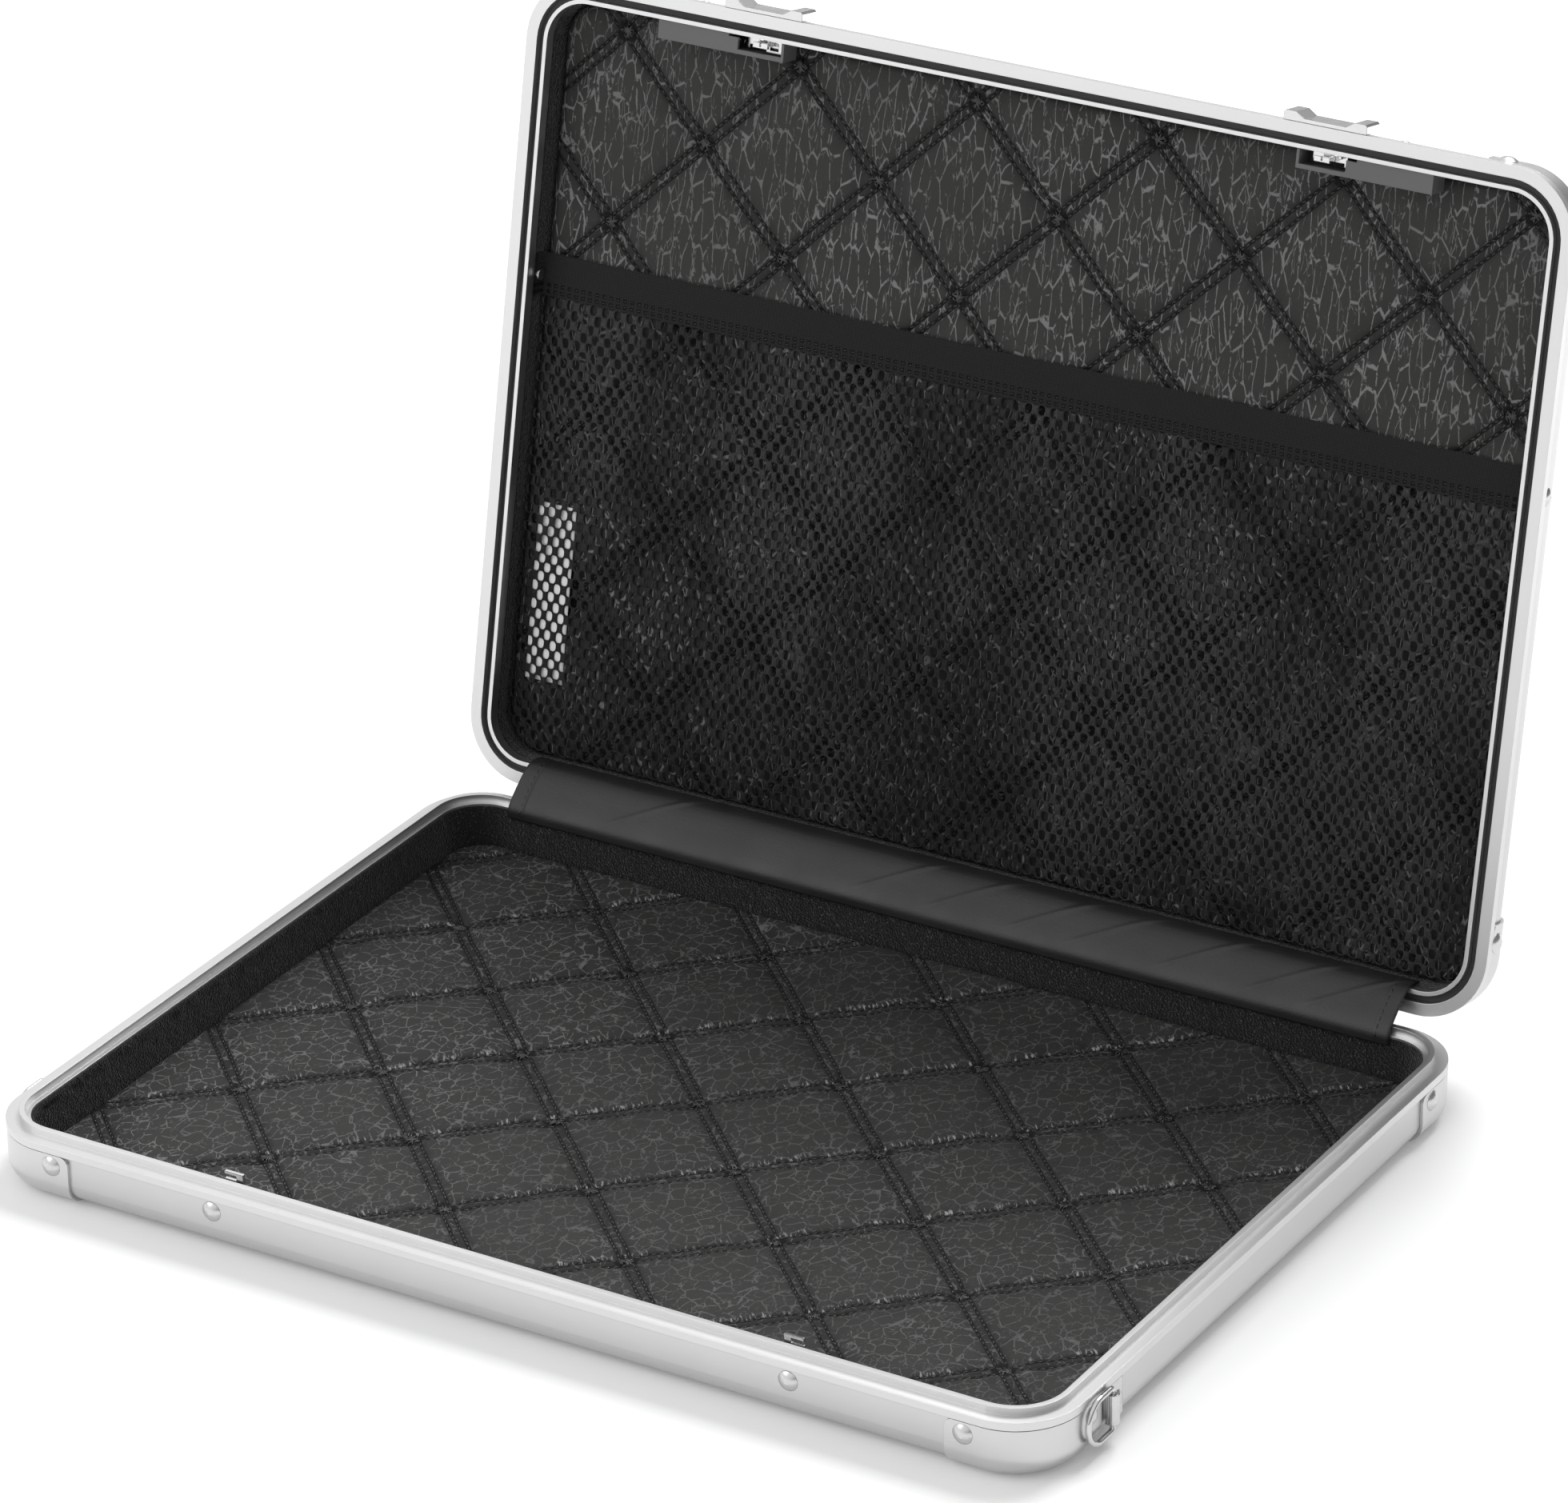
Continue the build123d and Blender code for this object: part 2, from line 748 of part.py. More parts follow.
def quilted_pad(back, face, start):
    """Return a pad with rounded face edges and sewn channels sunk in its face."""
    out = 1 if face > back else -1
    channel_axis = face + out * (channel_radius - channel_depth)
    length = 2 * hypot(case_width, case_depth) + 2 * case_width
    with BuildPart() as pad:
        with BuildSketch(Plane.XY.offset(back)) as foot:
            outline(pad_inset)
        extrude(foot.sketch, amount=face - back)
        fillet(pad.edges().group_by(Axis.Z)[-1 if out > 0 else 0], pad_edge_radius)
        channels = [plane for plane in channel_planes(start, channel_axis) if crosses_pad(plane)]
        with Locations(*channels):
            Cylinder(
                channel_radius,
                length,
                align=(Align.CENTER, Align.CENTER, Align.MIN),
                mode=Mode.SUBTRACT,
            )
    return pad


base_pad = quilted_pad(base_pad_bottom, base_pad_top, base_quilt_start)
write(base_pad, "base_pad")
lid_pad = quilted_pad(lid_pad_back, lid_pad_face, lid_quilt_start)
write_opened(lid_pad, "lid_pad")

# ------------------------------------------------------------------ elastic band, net and label
elastic_back = lid_pad_face - pad_play
elastic_face = elastic_back - elastic_thickness
elastic_end = half_width - lining_face - slip
elastic_ys = (elastic_y - elastic_width / 2, elastic_y + elastic_width / 2)
with BuildPart() as elastic_band:
    block((-elastic_end, elastic_end), elastic_ys, (elastic_face, elastic_back))
    for side in (-1, 1):
        block(
            (side * (elastic_end - elastic_thickness), side * elastic_end),
            elastic_ys,
            (elastic_back - elastic_tab, elastic_back),
        )
    drill(elastic_planes(), depth=2 * lining_face)
write_opened(elastic_band, "elastic_band")

elastic_grip = lining_face + slip + elastic_thickness - shell_inset
elastic_rivet = rivet(small_head_radius, small_head_height, elastic_grip)
with BuildPart() as elastic_rivets:
    place(elastic_rivet, elastic_planes(shell_inset))
write_opened(elastic_rivets, "elastic_rivets")

net_start = elastic_ys[1]
net_end = half_depth - pad_inset
net_width = case_width - 2 * pad_inset
net_length = net_end - net_start
net_pitch_x = (net_width - 2 * net_hem) / net_columns
net_pitch_y = (net_length - 2 * net_hem) / net_rows
net_middle = (net_start + net_end) / 2
with BuildPart() as mesh_pocket:
    with BuildSketch(Plane.XY.offset(elastic_face + elastic_thickness / 4)) as net:
        with Locations((0, net_middle)):
            Rectangle(net_width, net_length)
        rear_corners = net.vertices().group_by(Axis.Y)[-1]
        fillet(rear_corners, corner_radius - pad_inset)
        with Locations((0, net_middle)):
            with GridLocations(net_pitch_x, net_pitch_y, net_columns, net_rows):
                SlotOverall(net_pitch_x - net_bar, net_pitch_y - net_bar, mode=Mode.SUBTRACT)
    extrude(net.sketch, amount=net_thickness)
write_opened(mesh_pocket, "mesh_pocket")

with BuildPart() as pocket_label:
    with BuildSketch(Plane.XY.offset(elastic_back)) as card:
        with Locations((label_from_left - half_width, half_depth - label_from_rear)):
            Rectangle(label_width, label_length)
    extrude(card.sketch, amount=label_thickness)
write_opened(pocket_label, "pocket_label")

# ------------------------------------------------------------------ latches
bar_back = -half_depth - bar_play
stem_end = foot_front
bar_low = lid_rim + bar_drop
stem_z = stem_low + stem_height / 2
tab_back = stem_end + bolt_thickness
plate_low = stem_low
plate_high = plate_low + bolt_thickness
foot_low = throat_bottom + catch_gap
foot_high = foot_low + bolt_thickness
bolt_start = hook_start + striker_stem_width + catch_gap
nose_end = bolt_start + bolt_foot_length
bolt_back = striker_back + catch_gap
bolt_front = striker_front - catch_gap
housing_low = lid_rim + housing_drop
housing_high = lid_pad_face - pad_play
housing_front = lip_inset + lining_play - half_depth
housing_back = housing_front + housing_depth
spring_y = (housing_front + housing_back) / 2
spring_z = plate_high + spring_radius + slip
bolt_end = stem_start + bolt_length - bolt_thickness


def latch_slide(side):
    """Return the outer bar with its two finger wedges and the stem that goes through the wall."""
    bar_end = bar_start + bar_length
    with BuildPart() as slide:
        with BuildSketch(Plane.XY.offset(bar_low)) as section:
            with BuildLine():
                Polyline(
                    (side * bar_start, bar_back),
                    (side * bar_start, bar_back - bar_wedge + bar_plate / 2),
                    (side * (bar_start + bar_plate / 2), bar_back - bar_wedge),
                    (side * (bar_start + bar_wedge_length), bar_back - bar_wedge),
                    (side * (bar_start + bar_wedge_length + bar_slope_length), bar_back - bar_plate),
                    (side * (bar_end - bar_wedge_length - bar_slope_length), bar_back - bar_plate),
                    (side * (bar_end - bar_wedge_length), bar_back - bar_wedge),
                    (side * (bar_end - bar_plate / 2), bar_back - bar_wedge),
                    (side * bar_end, bar_back - bar_wedge + bar_plate / 2),
                    (side * bar_end, bar_back),
                    close=True,
                )
            make_face()
        extrude(section.sketch, amount=bar_height)
        stem_xs = (side * stem_start, side * (stem_start + stem_length))
        block(stem_xs, (bar_back, stem_end), (stem_low, stem_high))
        spigot_x = side * (stem_start + stem_length / 2)
        with Locations(Plane((spigot_x, stem_end, stem_z), z_dir=(0, 1, 0))):
            Cylinder(spigot_radius, bolt_thickness, align=(Align.CENTER, Align.CENTER, Align.MIN))
    return slide


def latch_bolt(side):
    """Return the bolt: a plate from the stem to the window, with a slit foot that catches the hook.

    The two bolts differ: the left one also has a square loop beside the foot, and the right
    one a small turned-down tab.
    """
    plate_xs = (side * stem_start, side * bolt_end)
    nose_ys = (bolt_front, bolt_back)
    with BuildPart() as bolt:
        stem_xs = (side * stem_start, side * (stem_start + stem_length))
        block(stem_xs, (stem_end, tab_back), (plate_low, stem_high))
        block(plate_xs, (stem_end, bolt_back), (plate_low, plate_high))
        block((side * (nose_end - bolt_thickness), side * nose_end), nose_ys, (foot_low, plate_high))
        block((side * bolt_start, side * nose_end), nose_ys, (foot_low, foot_high))
        slit_x = bolt_start + bolt_foot_length / 2
        block(
            (side * (slit_x - bolt_slit / 2), side * (slit_x + bolt_slit / 2)),
            (bolt_front, bolt_back - bolt_slit),
            (foot_low, foot_high),
            mode=Mode.SUBTRACT,
        )
        tail_xs = (side * (bolt_end - bolt_thickness), side * bolt_end)
        tail_ys = (spring_y - spring_radius, spring_y + spring_radius)
        block(tail_xs, tail_ys, (plate_low, spring_z + spring_radius))
        if side < 0:
            loop_x = housing_start + housing_wall + loop_rail + loop_length / 2
            hole_size = (loop_length - 2 * loop_rail, loop_width - 2 * bolt_thickness)
            with BuildSketch(Plane.XY.offset(plate_low - bolt_thickness)) as loop:
                with Locations((side * loop_x, housing_front + window_width / 2)):
                    Rectangle(loop_length, loop_width)
                    Rectangle(*hole_size, mode=Mode.SUBTRACT)
            extrude(loop.sketch, amount=bolt_thickness)
        else:
            tab_xs = (bolt_end - 2 * bolt_thickness, bolt_end - bolt_thickness)
            tab_low = housing_low + housing_wall + catch_gap
            block(tab_xs, (bolt_front - bolt_thickness, bolt_front), (tab_low, plate_high))
        spigot_x = side * (stem_start + stem_length / 2)
        with Locations(Plane((spigot_x, tab_back, stem_z), z_dir=(0, 1, 0))):
            Hole(spigot_radius + pin_play, depth=2 * bolt_thickness)
    return bolt


def latch_housing(side):
    """Return the grey cover over a latch: open towards the pad, with the striker's window."""
    xs = (side * housing_start, side * housing_end)
    inner_xs = (side * (housing_start + housing_wall), side * (housing_end - housing_wall))
    window_xs = (inner_xs[0], side * (nose_end + latch_travel + window_room))
    passage_end = side * (bolt_end + latch_travel + slot_play)
    with BuildPart() as housing:
        block(xs, (housing_front, housing_back), (housing_low, housing_high))
        block(
            inner_xs,
            (housing_front + housing_wall, housing_back - housing_wall),
            (housing_low + housing_wall, housing_high),
            mode=Mode.SUBTRACT,
        )
        block(
            window_xs,
            (housing_front, housing_front + window_width),
            (housing_low, housing_low + housing_wall),
            mode=Mode.SUBTRACT,
        )
        block(
            (inner_xs[0], passage_end),
            (housing_front, housing_front + housing_wall),
            (housing_low, housing_high),
            mode=Mode.SUBTRACT,
        )
        block(
            (side * (lug_x - lug_length / 2), side * (lug_x + lug_length / 2)),
            (foot_front, housing_front + housing_wall),
            (lid_rivet_z - lug_height / 2, lid_rivet_z + lug_height / 2),
        )
        drill([on_front(side * lug_x, lid_rivet_z)], depth=2 * lip_inset)
    return housing


def latch_spring(side):
    """Return the space of the coil spring that pushes the bolt back under the hook."""
    start = side * (bolt_end + slip)
    length = housing_end - housing_wall - slip - bolt_end - slip
    with BuildPart() as spring:
        with Locations(Plane((start, spring_y, spring_z), z_dir=(side, 0, 0))):
            Cylinder(spring_radius, length, align=(Align.CENTER, Align.CENTER, Align.MIN))
            Hole(spring_radius - spring_wire)
    return spring


for side, name in ((-1, "left"), (1, "right")):
    write_opened(latch_slide(side), f"latch_slide_{name}")
    write_opened(latch_bolt(side), f"latch_bolt_{name}")
    write_opened(latch_spring(side), f"latch_spring_{name}")
    write_opened(latch_housing(side), f"latch_housing_{name}")

lug_grip = housing_front + housing_wall + half_depth - shell_inset
lug_rivet = rivet(leaf_head_radius, leaf_head_height, lug_grip)
with BuildPart() as latch_housing_rivets:
    place(lug_rivet, lug_planes(shell_inset))
write_opened(latch_housing_rivets, "latch_housing_rivets")


# ------------------------------------------------------------------ flap over the hinge gap
def opened_point(y, z):
    """Return where a point of the shut lid, seen along the hinge, lies when the lid is open."""
    angle = radians(open_angle)
    dy, dz = y - hinge_y, z - hinge_z
    return (hinge_y + dy * cos(angle) + dz * sin(angle), hinge_z - dy * sin(angle) + dz * cos(angle))


flap_width = case_width - 2 * (lining_face + flap_side_gap)
flap_y = half_depth - lining_face - flap_thickness
tongue_y = half_depth - tongue_inset
tongue_top = base_height + tongue_height
with BuildPart() as hinge_flap:
    with BuildSketch(Plane.YZ.offset(-flap_width / 2)) as strip:
        with BuildLine():
            FilletPolyline(
                (flap_y, ledge_underside - flap_tail),
                (flap_y, base_height),
                (tongue_y - tongue_width - flap_thickness, tongue_top + flap_thickness),
                (tongue_y + flap_thickness, tongue_top + 2 * flap_thickness),
                opened_point(flap_y, lid_rim - 2 * flap_thickness),
                opened_point(flap_y, lid_web_top + flap_tail / 2),
                radius=flap_bend,
            )
        trace(line_width=flap_thickness)
    extrude(strip.sketch, amount=flap_width)
write(hinge_flap, "hinge_flap")
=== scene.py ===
"""Looks of the laptop case: materials, quilted pads, felt, net, flap and a plain studio.

Lengths are in metres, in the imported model's own frame: X runs along the hinge, Y from the
front to the hinge and Z up. Pieces of the lid are made shut, over the base, and their
objects are turned open about the hinge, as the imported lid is.
"""

import json
import math

import bpy
import numpy as np
from mathutils import Matrix, Vector


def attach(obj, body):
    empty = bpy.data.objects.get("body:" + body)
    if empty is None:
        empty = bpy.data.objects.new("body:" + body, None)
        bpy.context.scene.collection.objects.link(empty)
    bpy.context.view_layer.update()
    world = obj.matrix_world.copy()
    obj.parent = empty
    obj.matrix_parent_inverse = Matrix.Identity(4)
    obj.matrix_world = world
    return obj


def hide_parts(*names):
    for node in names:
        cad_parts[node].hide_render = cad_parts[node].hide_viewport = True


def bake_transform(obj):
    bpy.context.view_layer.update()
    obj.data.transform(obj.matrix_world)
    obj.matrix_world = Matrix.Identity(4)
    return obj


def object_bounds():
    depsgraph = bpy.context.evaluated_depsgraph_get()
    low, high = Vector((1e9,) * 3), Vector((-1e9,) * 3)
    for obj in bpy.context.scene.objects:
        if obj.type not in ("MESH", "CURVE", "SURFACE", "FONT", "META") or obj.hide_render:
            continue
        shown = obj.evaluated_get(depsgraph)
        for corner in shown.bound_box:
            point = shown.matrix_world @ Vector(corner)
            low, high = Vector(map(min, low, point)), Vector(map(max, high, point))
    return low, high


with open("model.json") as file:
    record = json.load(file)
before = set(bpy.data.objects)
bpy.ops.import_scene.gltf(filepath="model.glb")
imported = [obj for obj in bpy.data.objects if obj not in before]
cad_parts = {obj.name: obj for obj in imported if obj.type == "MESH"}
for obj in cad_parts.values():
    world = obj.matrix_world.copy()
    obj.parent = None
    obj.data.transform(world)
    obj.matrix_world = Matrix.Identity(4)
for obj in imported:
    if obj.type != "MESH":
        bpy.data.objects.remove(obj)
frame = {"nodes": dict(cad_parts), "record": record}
cad_low, cad_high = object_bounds()

MM = 0.001
rng = np.random.default_rng(7)

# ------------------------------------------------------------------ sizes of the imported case
HALF_WIDTH = 196.0 * MM
HALF_DEPTH = 141.5 * MM
CORNER_RADIUS = 23.0 * MM
OPEN_ANGLE = 101.8
HINGE = Vector((0.0, 144.6 * MM, 20.0 * MM))
OPENED = (
    Matrix.Translation(HINGE)
    @ Matrix.Rotation(math.radians(-OPEN_ANGLE), 4, "X")
    @ Matrix.Translation(-HINGE)
)

PAD_INSET = 8.7 * MM
BASE_PAD_BACK = 1.1 * MM
BASE_PAD_FACE = 6.0 * MM
LID_PAD_BACK = 34.4 * MM
LID_PAD_FACE = 30.0 * MM
QUILT_X = 68.0 * MM  # between the quilting's crossings, along X and along Y
QUILT_Y = 66.0 * MM
QUILT_PITCH = 1 / math.hypot(1 / QUILT_X, 1 / QUILT_Y)  # between two neighbouring seams
SEAM_ROW = 1.7 * MM  # from a seam's middle to each of its two rows of stitches
BASE_QUILT_START = (-153.0 * MM, 8.5 * MM)
LID_QUILT_START = (-95.0 * MM, -58.5 * MM)

LINING_MIDDLE = 8.0 * MM
LINING_THICKNESS = 0.8 * MM
BASE_LINING = (1.1 * MM, 19.1 * MM)
LID_LINING = (24.5 * MM, 34.4 * MM)
STRIKER_SLOT = ((99.3 * MM, 106.7 * MM), (15.15 * MM, 16.75 * MM))
HOUSING_NOTCH = ((95.7 * MM, 145.3 * MM), (24.4 * MM, 30.0 * MM))

ELASTIC_Y = (-44.0 * MM, -29.0 * MM)
ELASTIC_Z = (28.9 * MM, 29.7 * MM)
ELASTIC_END = 187.55 * MM
ELASTIC_TAB = 24.6 * MM
ELASTIC_STITCHES = (-30.6 * MM, -32.9 * MM)  # its two rows, along the net's edge
ELASTIC_STITCH_STEP = 2.8 * MM
NET_Z = 29.3 * MM
LABEL_CENTRE = (-173.5 * MM, 74.5 * MM)
LABEL_SIZE = (15.0 * MM, 63.0 * MM)
LABEL_Z = 29.84 * MM

FLAP_HALF = 170.0 * MM
FLAP_THICKNESS = 0.6 * MM
FLAP_Y = 132.5 * MM
SPRING_Y = -129.95 * MM
SPRING_Z = 27.25 * MM
SPRING_ENDS = (112.45 * MM, 143.95 * MM)


# ------------------------------------------------------------------ materials
class Surface:
    """A material in the making: its Principled shader, and short ways to add nodes."""

    def __init__(self, name, **values):
        self.material = bpy.data.materials.new(name)
        self.material.use_nodes = True
        self.tree = self.material.node_tree
        self.shader = self.tree.nodes["Principled BSDF"]
        self.place = self.node("ShaderNodeTexCoord").outputs["Object"]
        for name, value in values.items():
            self.set(name.replace("_", " "), value)

    def feed(self, socket, value):
        """Link another node's output to a socket, or write a plain value on it."""
        if isinstance(value, bpy.types.NodeSocket):
            self.tree.links.new(value, socket)
        else:
            socket.default_value = value

    def set(self, name, value):
        """Feed one of the shader's own sockets."""
        self.feed(self.shader.inputs[name], value)

    def node(self, kind, inputs=(), **settings):
        """Add a node with its settings, and feed the inputs that are given by name or number."""
        node = self.tree.nodes.new(kind)
        for name, value in settings.items():
            setattr(node, name, value)
        for name, value in dict(inputs).items():
            self.feed(node.inputs[name], value)
        return node

    def maths(self, operation, a, b=0.0, c=0.0):
        """Return the result of a sum on up to three values."""
        return self.node("ShaderNodeMath", {0: a, 1: b, 2: c}, operation=operation).outputs[0]

    def vectors(self, operation, a, b=(0.0, 0.0, 0.0)):
        """Return the result of a sum on two vectors."""
        return self.node("ShaderNodeVectorMath", {0: a, 1: b}, operation=operation).outputs[0]

    def ramp(self, value, low, high, bottom=0.0, top=1.0):
        """Return a value that goes smoothly from bottom to top as another goes from low to high."""
        sockets = {"Value": value, "From Min": low, "From Max": high, "To Min": bottom, "To Max": top}
        return self.node("ShaderNodeMapRange", sockets, interpolation_type="SMOOTHSTEP").outputs[0]

    def blend(self, share, first, second):
        """Return a colour between two others."""
        return self.node("ShaderNodeMix", {0: share, 6: first, 7: second}, data_type="RGBA").outputs[2]

    def noise(self, size, detail=2.0, roughness=0.5, place=None, output="Fac"):
        """Return soft noise whose spots are about as large as the size given."""
        sockets = {
            "Vector": place or self.place,
            "Scale": 1 / size,
            "Detail": detail,
            "Roughness": roughness,
        }
        return self.node("ShaderNodeTexNoise", sockets).outputs[output]

    def cells(self, size, place=None, feature="DISTANCE_TO_EDGE"):
        """Return the distance to the edge, or to the middle, of random cells of the size given."""
        sockets = {"Vector": place or self.place, "Scale": 1 / size, "Randomness": 1.0}
        return self.node("ShaderNodeTexVoronoi", sockets, feature=feature).outputs["Distance"]

    def stripes(self, spacing, axis):
        """Return waves from 0 to 1, spaced along one axis of the piece."""
        parts = self.node("ShaderNodeSeparateXYZ", {0: self.place})
        turns = self.maths("MULTIPLY", parts.outputs[axis], 2 * math.pi / spacing)
        return self.maths("MULTIPLY_ADD", self.maths("SINE", turns), 0.5, 0.5)

    def bump(self, height, depth, normal=None):
        """Return a normal that shows a height from 0 to 1 as relief of the depth given."""
        sockets = {"Height": height, "Distance": depth, "Strength": 1.0}
        if normal is not None:
            sockets["Normal"] = normal
        return self.node("ShaderNodeBump", sockets).outputs[0]


def grey(value, warmth=0.0):
    """Return a linear grey, a little warmer or cooler."""
    return (value * (1 + warmth), value, value * (1 - warmth), 1.0)


def edge_share(s, radius, sharpest):
    """Return how near a surface is to an edge, from 0 to 1, and its normal with edges rounded."""
    rounded = s.node("ShaderNodeBevel", {"Radius": radius}, samples=4).outputs[0]
    facing = s.node("ShaderNodeNewGeometry").outputs["Normal"]
    turned = s.node("ShaderNodeVectorMath", {0: rounded, 1: facing}, operation="DOT_PRODUCT")
    return s.ramp(turned.outputs["Value"], 0.995, sharpest), rounded


def metal(name, tone, roughness, grain_size, grain_depth):
    """Return a metal with fine grain, uneven roughness and edges rubbed a little brighter."""
    s = Surface(name, Metallic=1.0)
    cloud = s.noise(18 * MM, 3.0)
    grain = s.noise(grain_size, 2.0, 0.6)
    edge, rounded = edge_share(s, 0.25 * MM, 0.86)
    rubbed = s.maths("MULTIPLY", edge, s.ramp(cloud, 0.3, 0.6))
    s.set("Base Color", s.blend(rubbed, s.blend(cloud, grey(tone * 0.97), grey(tone)), grey(tone * 1.06)))
    uneven = s.maths("MULTIPLY_ADD", grain, 0.08, roughness - 0.04)
    s.set("Roughness", s.maths("MULTIPLY_ADD", rubbed, -0.06, uneven))
    s.set("Normal", s.bump(grain, grain_depth, rounded))
    return s.material


def chrome(name, tone, roughness):
    """Return bright plating with faint handling marks, and a painted reflection of the dark room that darkens its
    edges.
    """
    s = Surface(name, Metallic=1.0)
    marks = s.ramp(s.noise(4 * MM, 4.0, 0.7), 0.45, 0.8)
    edge, rounded = edge_share(s, 0.4 * MM, 0.90)
    plate = s.blend(marks, grey(tone), grey(tone * 0.9))
    # Painted reflection: the plate's colour darkens at its edges, standing in for the dark room they mirror.
    s.set("Base Color", s.blend(edge, plate, grey(tone * 0.2)))
    s.set("Roughness", s.maths("MULTIPLY_ADD", marks, 0.08, roughness))
    s.set("Normal", s.bump(s.noise(0.6 * MM), 0.004 * MM, rounded))
    return s.material


def seam_places_in(s, start):
    """Return a surface's place in units of the quilting, across its two families of seams."""
    parts = s.node("ShaderNodeSeparateXYZ", {0: s.place})
    across = s.maths("DIVIDE", s.maths("SUBTRACT", parts.outputs["X"], start[0]), QUILT_X)
    along = s.maths("DIVIDE", s.maths("SUBTRACT", parts.outputs["Y"], start[1]), QUILT_Y)
    return s.maths("ADD", across, along), s.maths("SUBTRACT", across, along)


def gathers(s, places):
    """Return a painted highlight on the short gathers on one shoulder of the seams that run along +X and +Y."""
    run, line = places
    beside = s.maths("MULTIPLY", s.maths("SUBTRACT", 1.0, s.maths("FRACT", line)), QUILT_PITCH)
    shoulder = s.maths(
        "MULTIPLY", s.ramp(beside, 1.9 * MM, 2.4 * MM), s.ramp(beside, 5.2 * MM, 2.8 * MM)
    )
    drawn = s.node("ShaderNodeCombineXYZ", {0: run, 1: s.maths("MULTIPLY", line, 0.3)}).outputs[0]
    streaks = s.noise(1.5 * MM / QUILT_X, 2.0, 0.6, place=drawn)
    patches = s.ramp(s.noise(9 * MM, 2.0), 0.42, 0.55)
    return s.maths("MULTIPLY", s.maths("MULTIPLY", s.ramp(streaks, 0.52, 0.64), shoulder), patches)


def puckers(s, places):
    """Return short creases that run out from both families of seams."""
    height = 0.0
    for run, line in (places, places[::-1]):
        beside = s.maths("MULTIPLY", s.maths("PINGPONG", line, 0.5), QUILT_PITCH)
        drawn = s.node("ShaderNodeCombineXYZ", {0: run, 1: s.maths("MULTIPLY", line, 0.25)}).outputs[0]
        creases = s.noise(1.5 * MM / QUILT_X, 2.0, 0.6, place=drawn)
        height = s.maths("MAXIMUM", height, s.maths("MULTIPLY", creases, s.ramp(beside, 6.5 * MM, 2.0 * MM)))
    return height


def crackled_leather(name, start, tone, cell, stretch, wander, line_tone, gathered):
    """Return the pads' leatherette: matt dark skin, a net of paler cracks and fine grain."""
    s = Surface(name, Specular_IOR_Level=0.24)
    places = seam_places_in(s, start)
    near = [s.maths("MULTIPLY", s.maths("PINGPONG", place, 0.5), QUILT_PITCH) for place in places]
    seam = s.maths("MINIMUM", *near)
    drift = s.vectors("SUBTRACT", s.noise(5 * MM, 4.0, 0.6, output="Color"), (0.5, 0.5, 0.5))
    wandering = s.vectors("ADD", s.place, s.vectors("MULTIPLY", drift, (wander,) * 3))
    drawn = s.vectors("MULTIPLY", wandering, stretch)
    wide = s.ramp(s.cells(cell, drawn), 0.052, 0.022)
    fine = s.ramp(s.cells(cell * 0.5, drawn), 0.050, 0.02)
    broken = s.ramp(s.noise(3 * MM, 3.0, 0.6), 0.40, 0.50)
    sparse = s.ramp(s.noise(5 * MM, 3.0, 0.7, place=drawn), 0.50, 0.60)
    cracks = s.maths("MAXIMUM", s.maths("MULTIPLY", wide, broken), s.maths("MULTIPLY", fine, sparse))
    sides = s.node("ShaderNodeSeparateXYZ", {0: s.place})
    # Random wear in how strongly the cracks show; on the base pad also a painted fall-off of their sheen towards
    # +X.
    wear_and_painted_sheen = s.ramp(s.noise(45 * MM, 2.0), 0.35, 0.65, 0.6, 1.0)
    if gathered:
        wear_and_painted_sheen = s.maths("MULTIPLY", wear_and_painted_sheen, s.ramp(sides.outputs["X"], -130 * MM, 0.0, 1.0, 0.6))
    row = s.maths("ABSOLUTE", s.maths("SUBTRACT", seam, SEAM_ROW))
    cracks = s.maths("MULTIPLY", s.maths("MULTIPLY", cracks, wear_and_painted_sheen), s.ramp(row, 0.5 * MM, 1.1 * MM))
    cloud = s.noise(25 * MM, 3.0)
    skin = s.blend(cloud, grey(tone * 0.85, 0.03), grey(tone, 0.04))
    knot = s.ramp(s.maths("ADD", *near), 5.4 * MM, 3.8 * MM)
    sewn = s.maths("MAXIMUM", s.ramp(row, 0.9 * MM, 0.25 * MM), knot)
    # Painted shade: the skin darkens towards the seams' channels, where shade falls between the cushions.
    skin = s.blend(s.ramp(seam, 11 * MM, 2 * MM, 0.0, 0.3), skin, grey(0.012))
    if not gathered:
        # Painted shade: the lid pad's skin is darker under the net, where the net and elastic shade it, and duller
        # there.
        pocket = s.ramp(sides.outputs["Y"], ELASTIC_Y[1] - 2 * MM, ELASTIC_Y[1], 0.0, 0.35)
        skin = s.blend(pocket, skin, grey(0.004))
    skin = s.blend(sewn, skin, grey(0.004))
    dull = s.ramp(seam, 4.0 * MM, 1.6 * MM, 0.0, 0.2)
    if not gathered:
        dull = s.maths("MAXIMUM", dull, s.maths("MULTIPLY", pocket, 0.6))
    cracks = s.maths("MULTIPLY", cracks, s.maths("SUBTRACT", 1.0, knot))
    colour = s.blend(cracks, skin, grey(line_tone))
    grain = s.noise(0.45 * MM, 2.0, 0.6)
    relief = s.bump(puckers(s, places), 0.45 * MM, s.bump(grain, 0.06 * MM))
    if gathered:
        # Painted highlight: the gathers are painted pale on one shoulder of the seams, and also raised a little by
        # the bump.
        gather_highlight = gathers(s, places)
        colour = s.blend(gather_highlight, colour, grey(0.30))
        relief = s.bump(gather_highlight, 0.15 * MM, relief)
    s.set("Base Color", colour)
    plain = s.maths("ADD", s.ramp(grain, 0.2, 0.8, 0.58, 0.72), dull)
    s.set("Roughness", s.maths("MULTIPLY_ADD", cracks, -0.14, plain))
    s.set("Normal", s.bump(cracks, 0.12 * MM, relief))
    return s.material


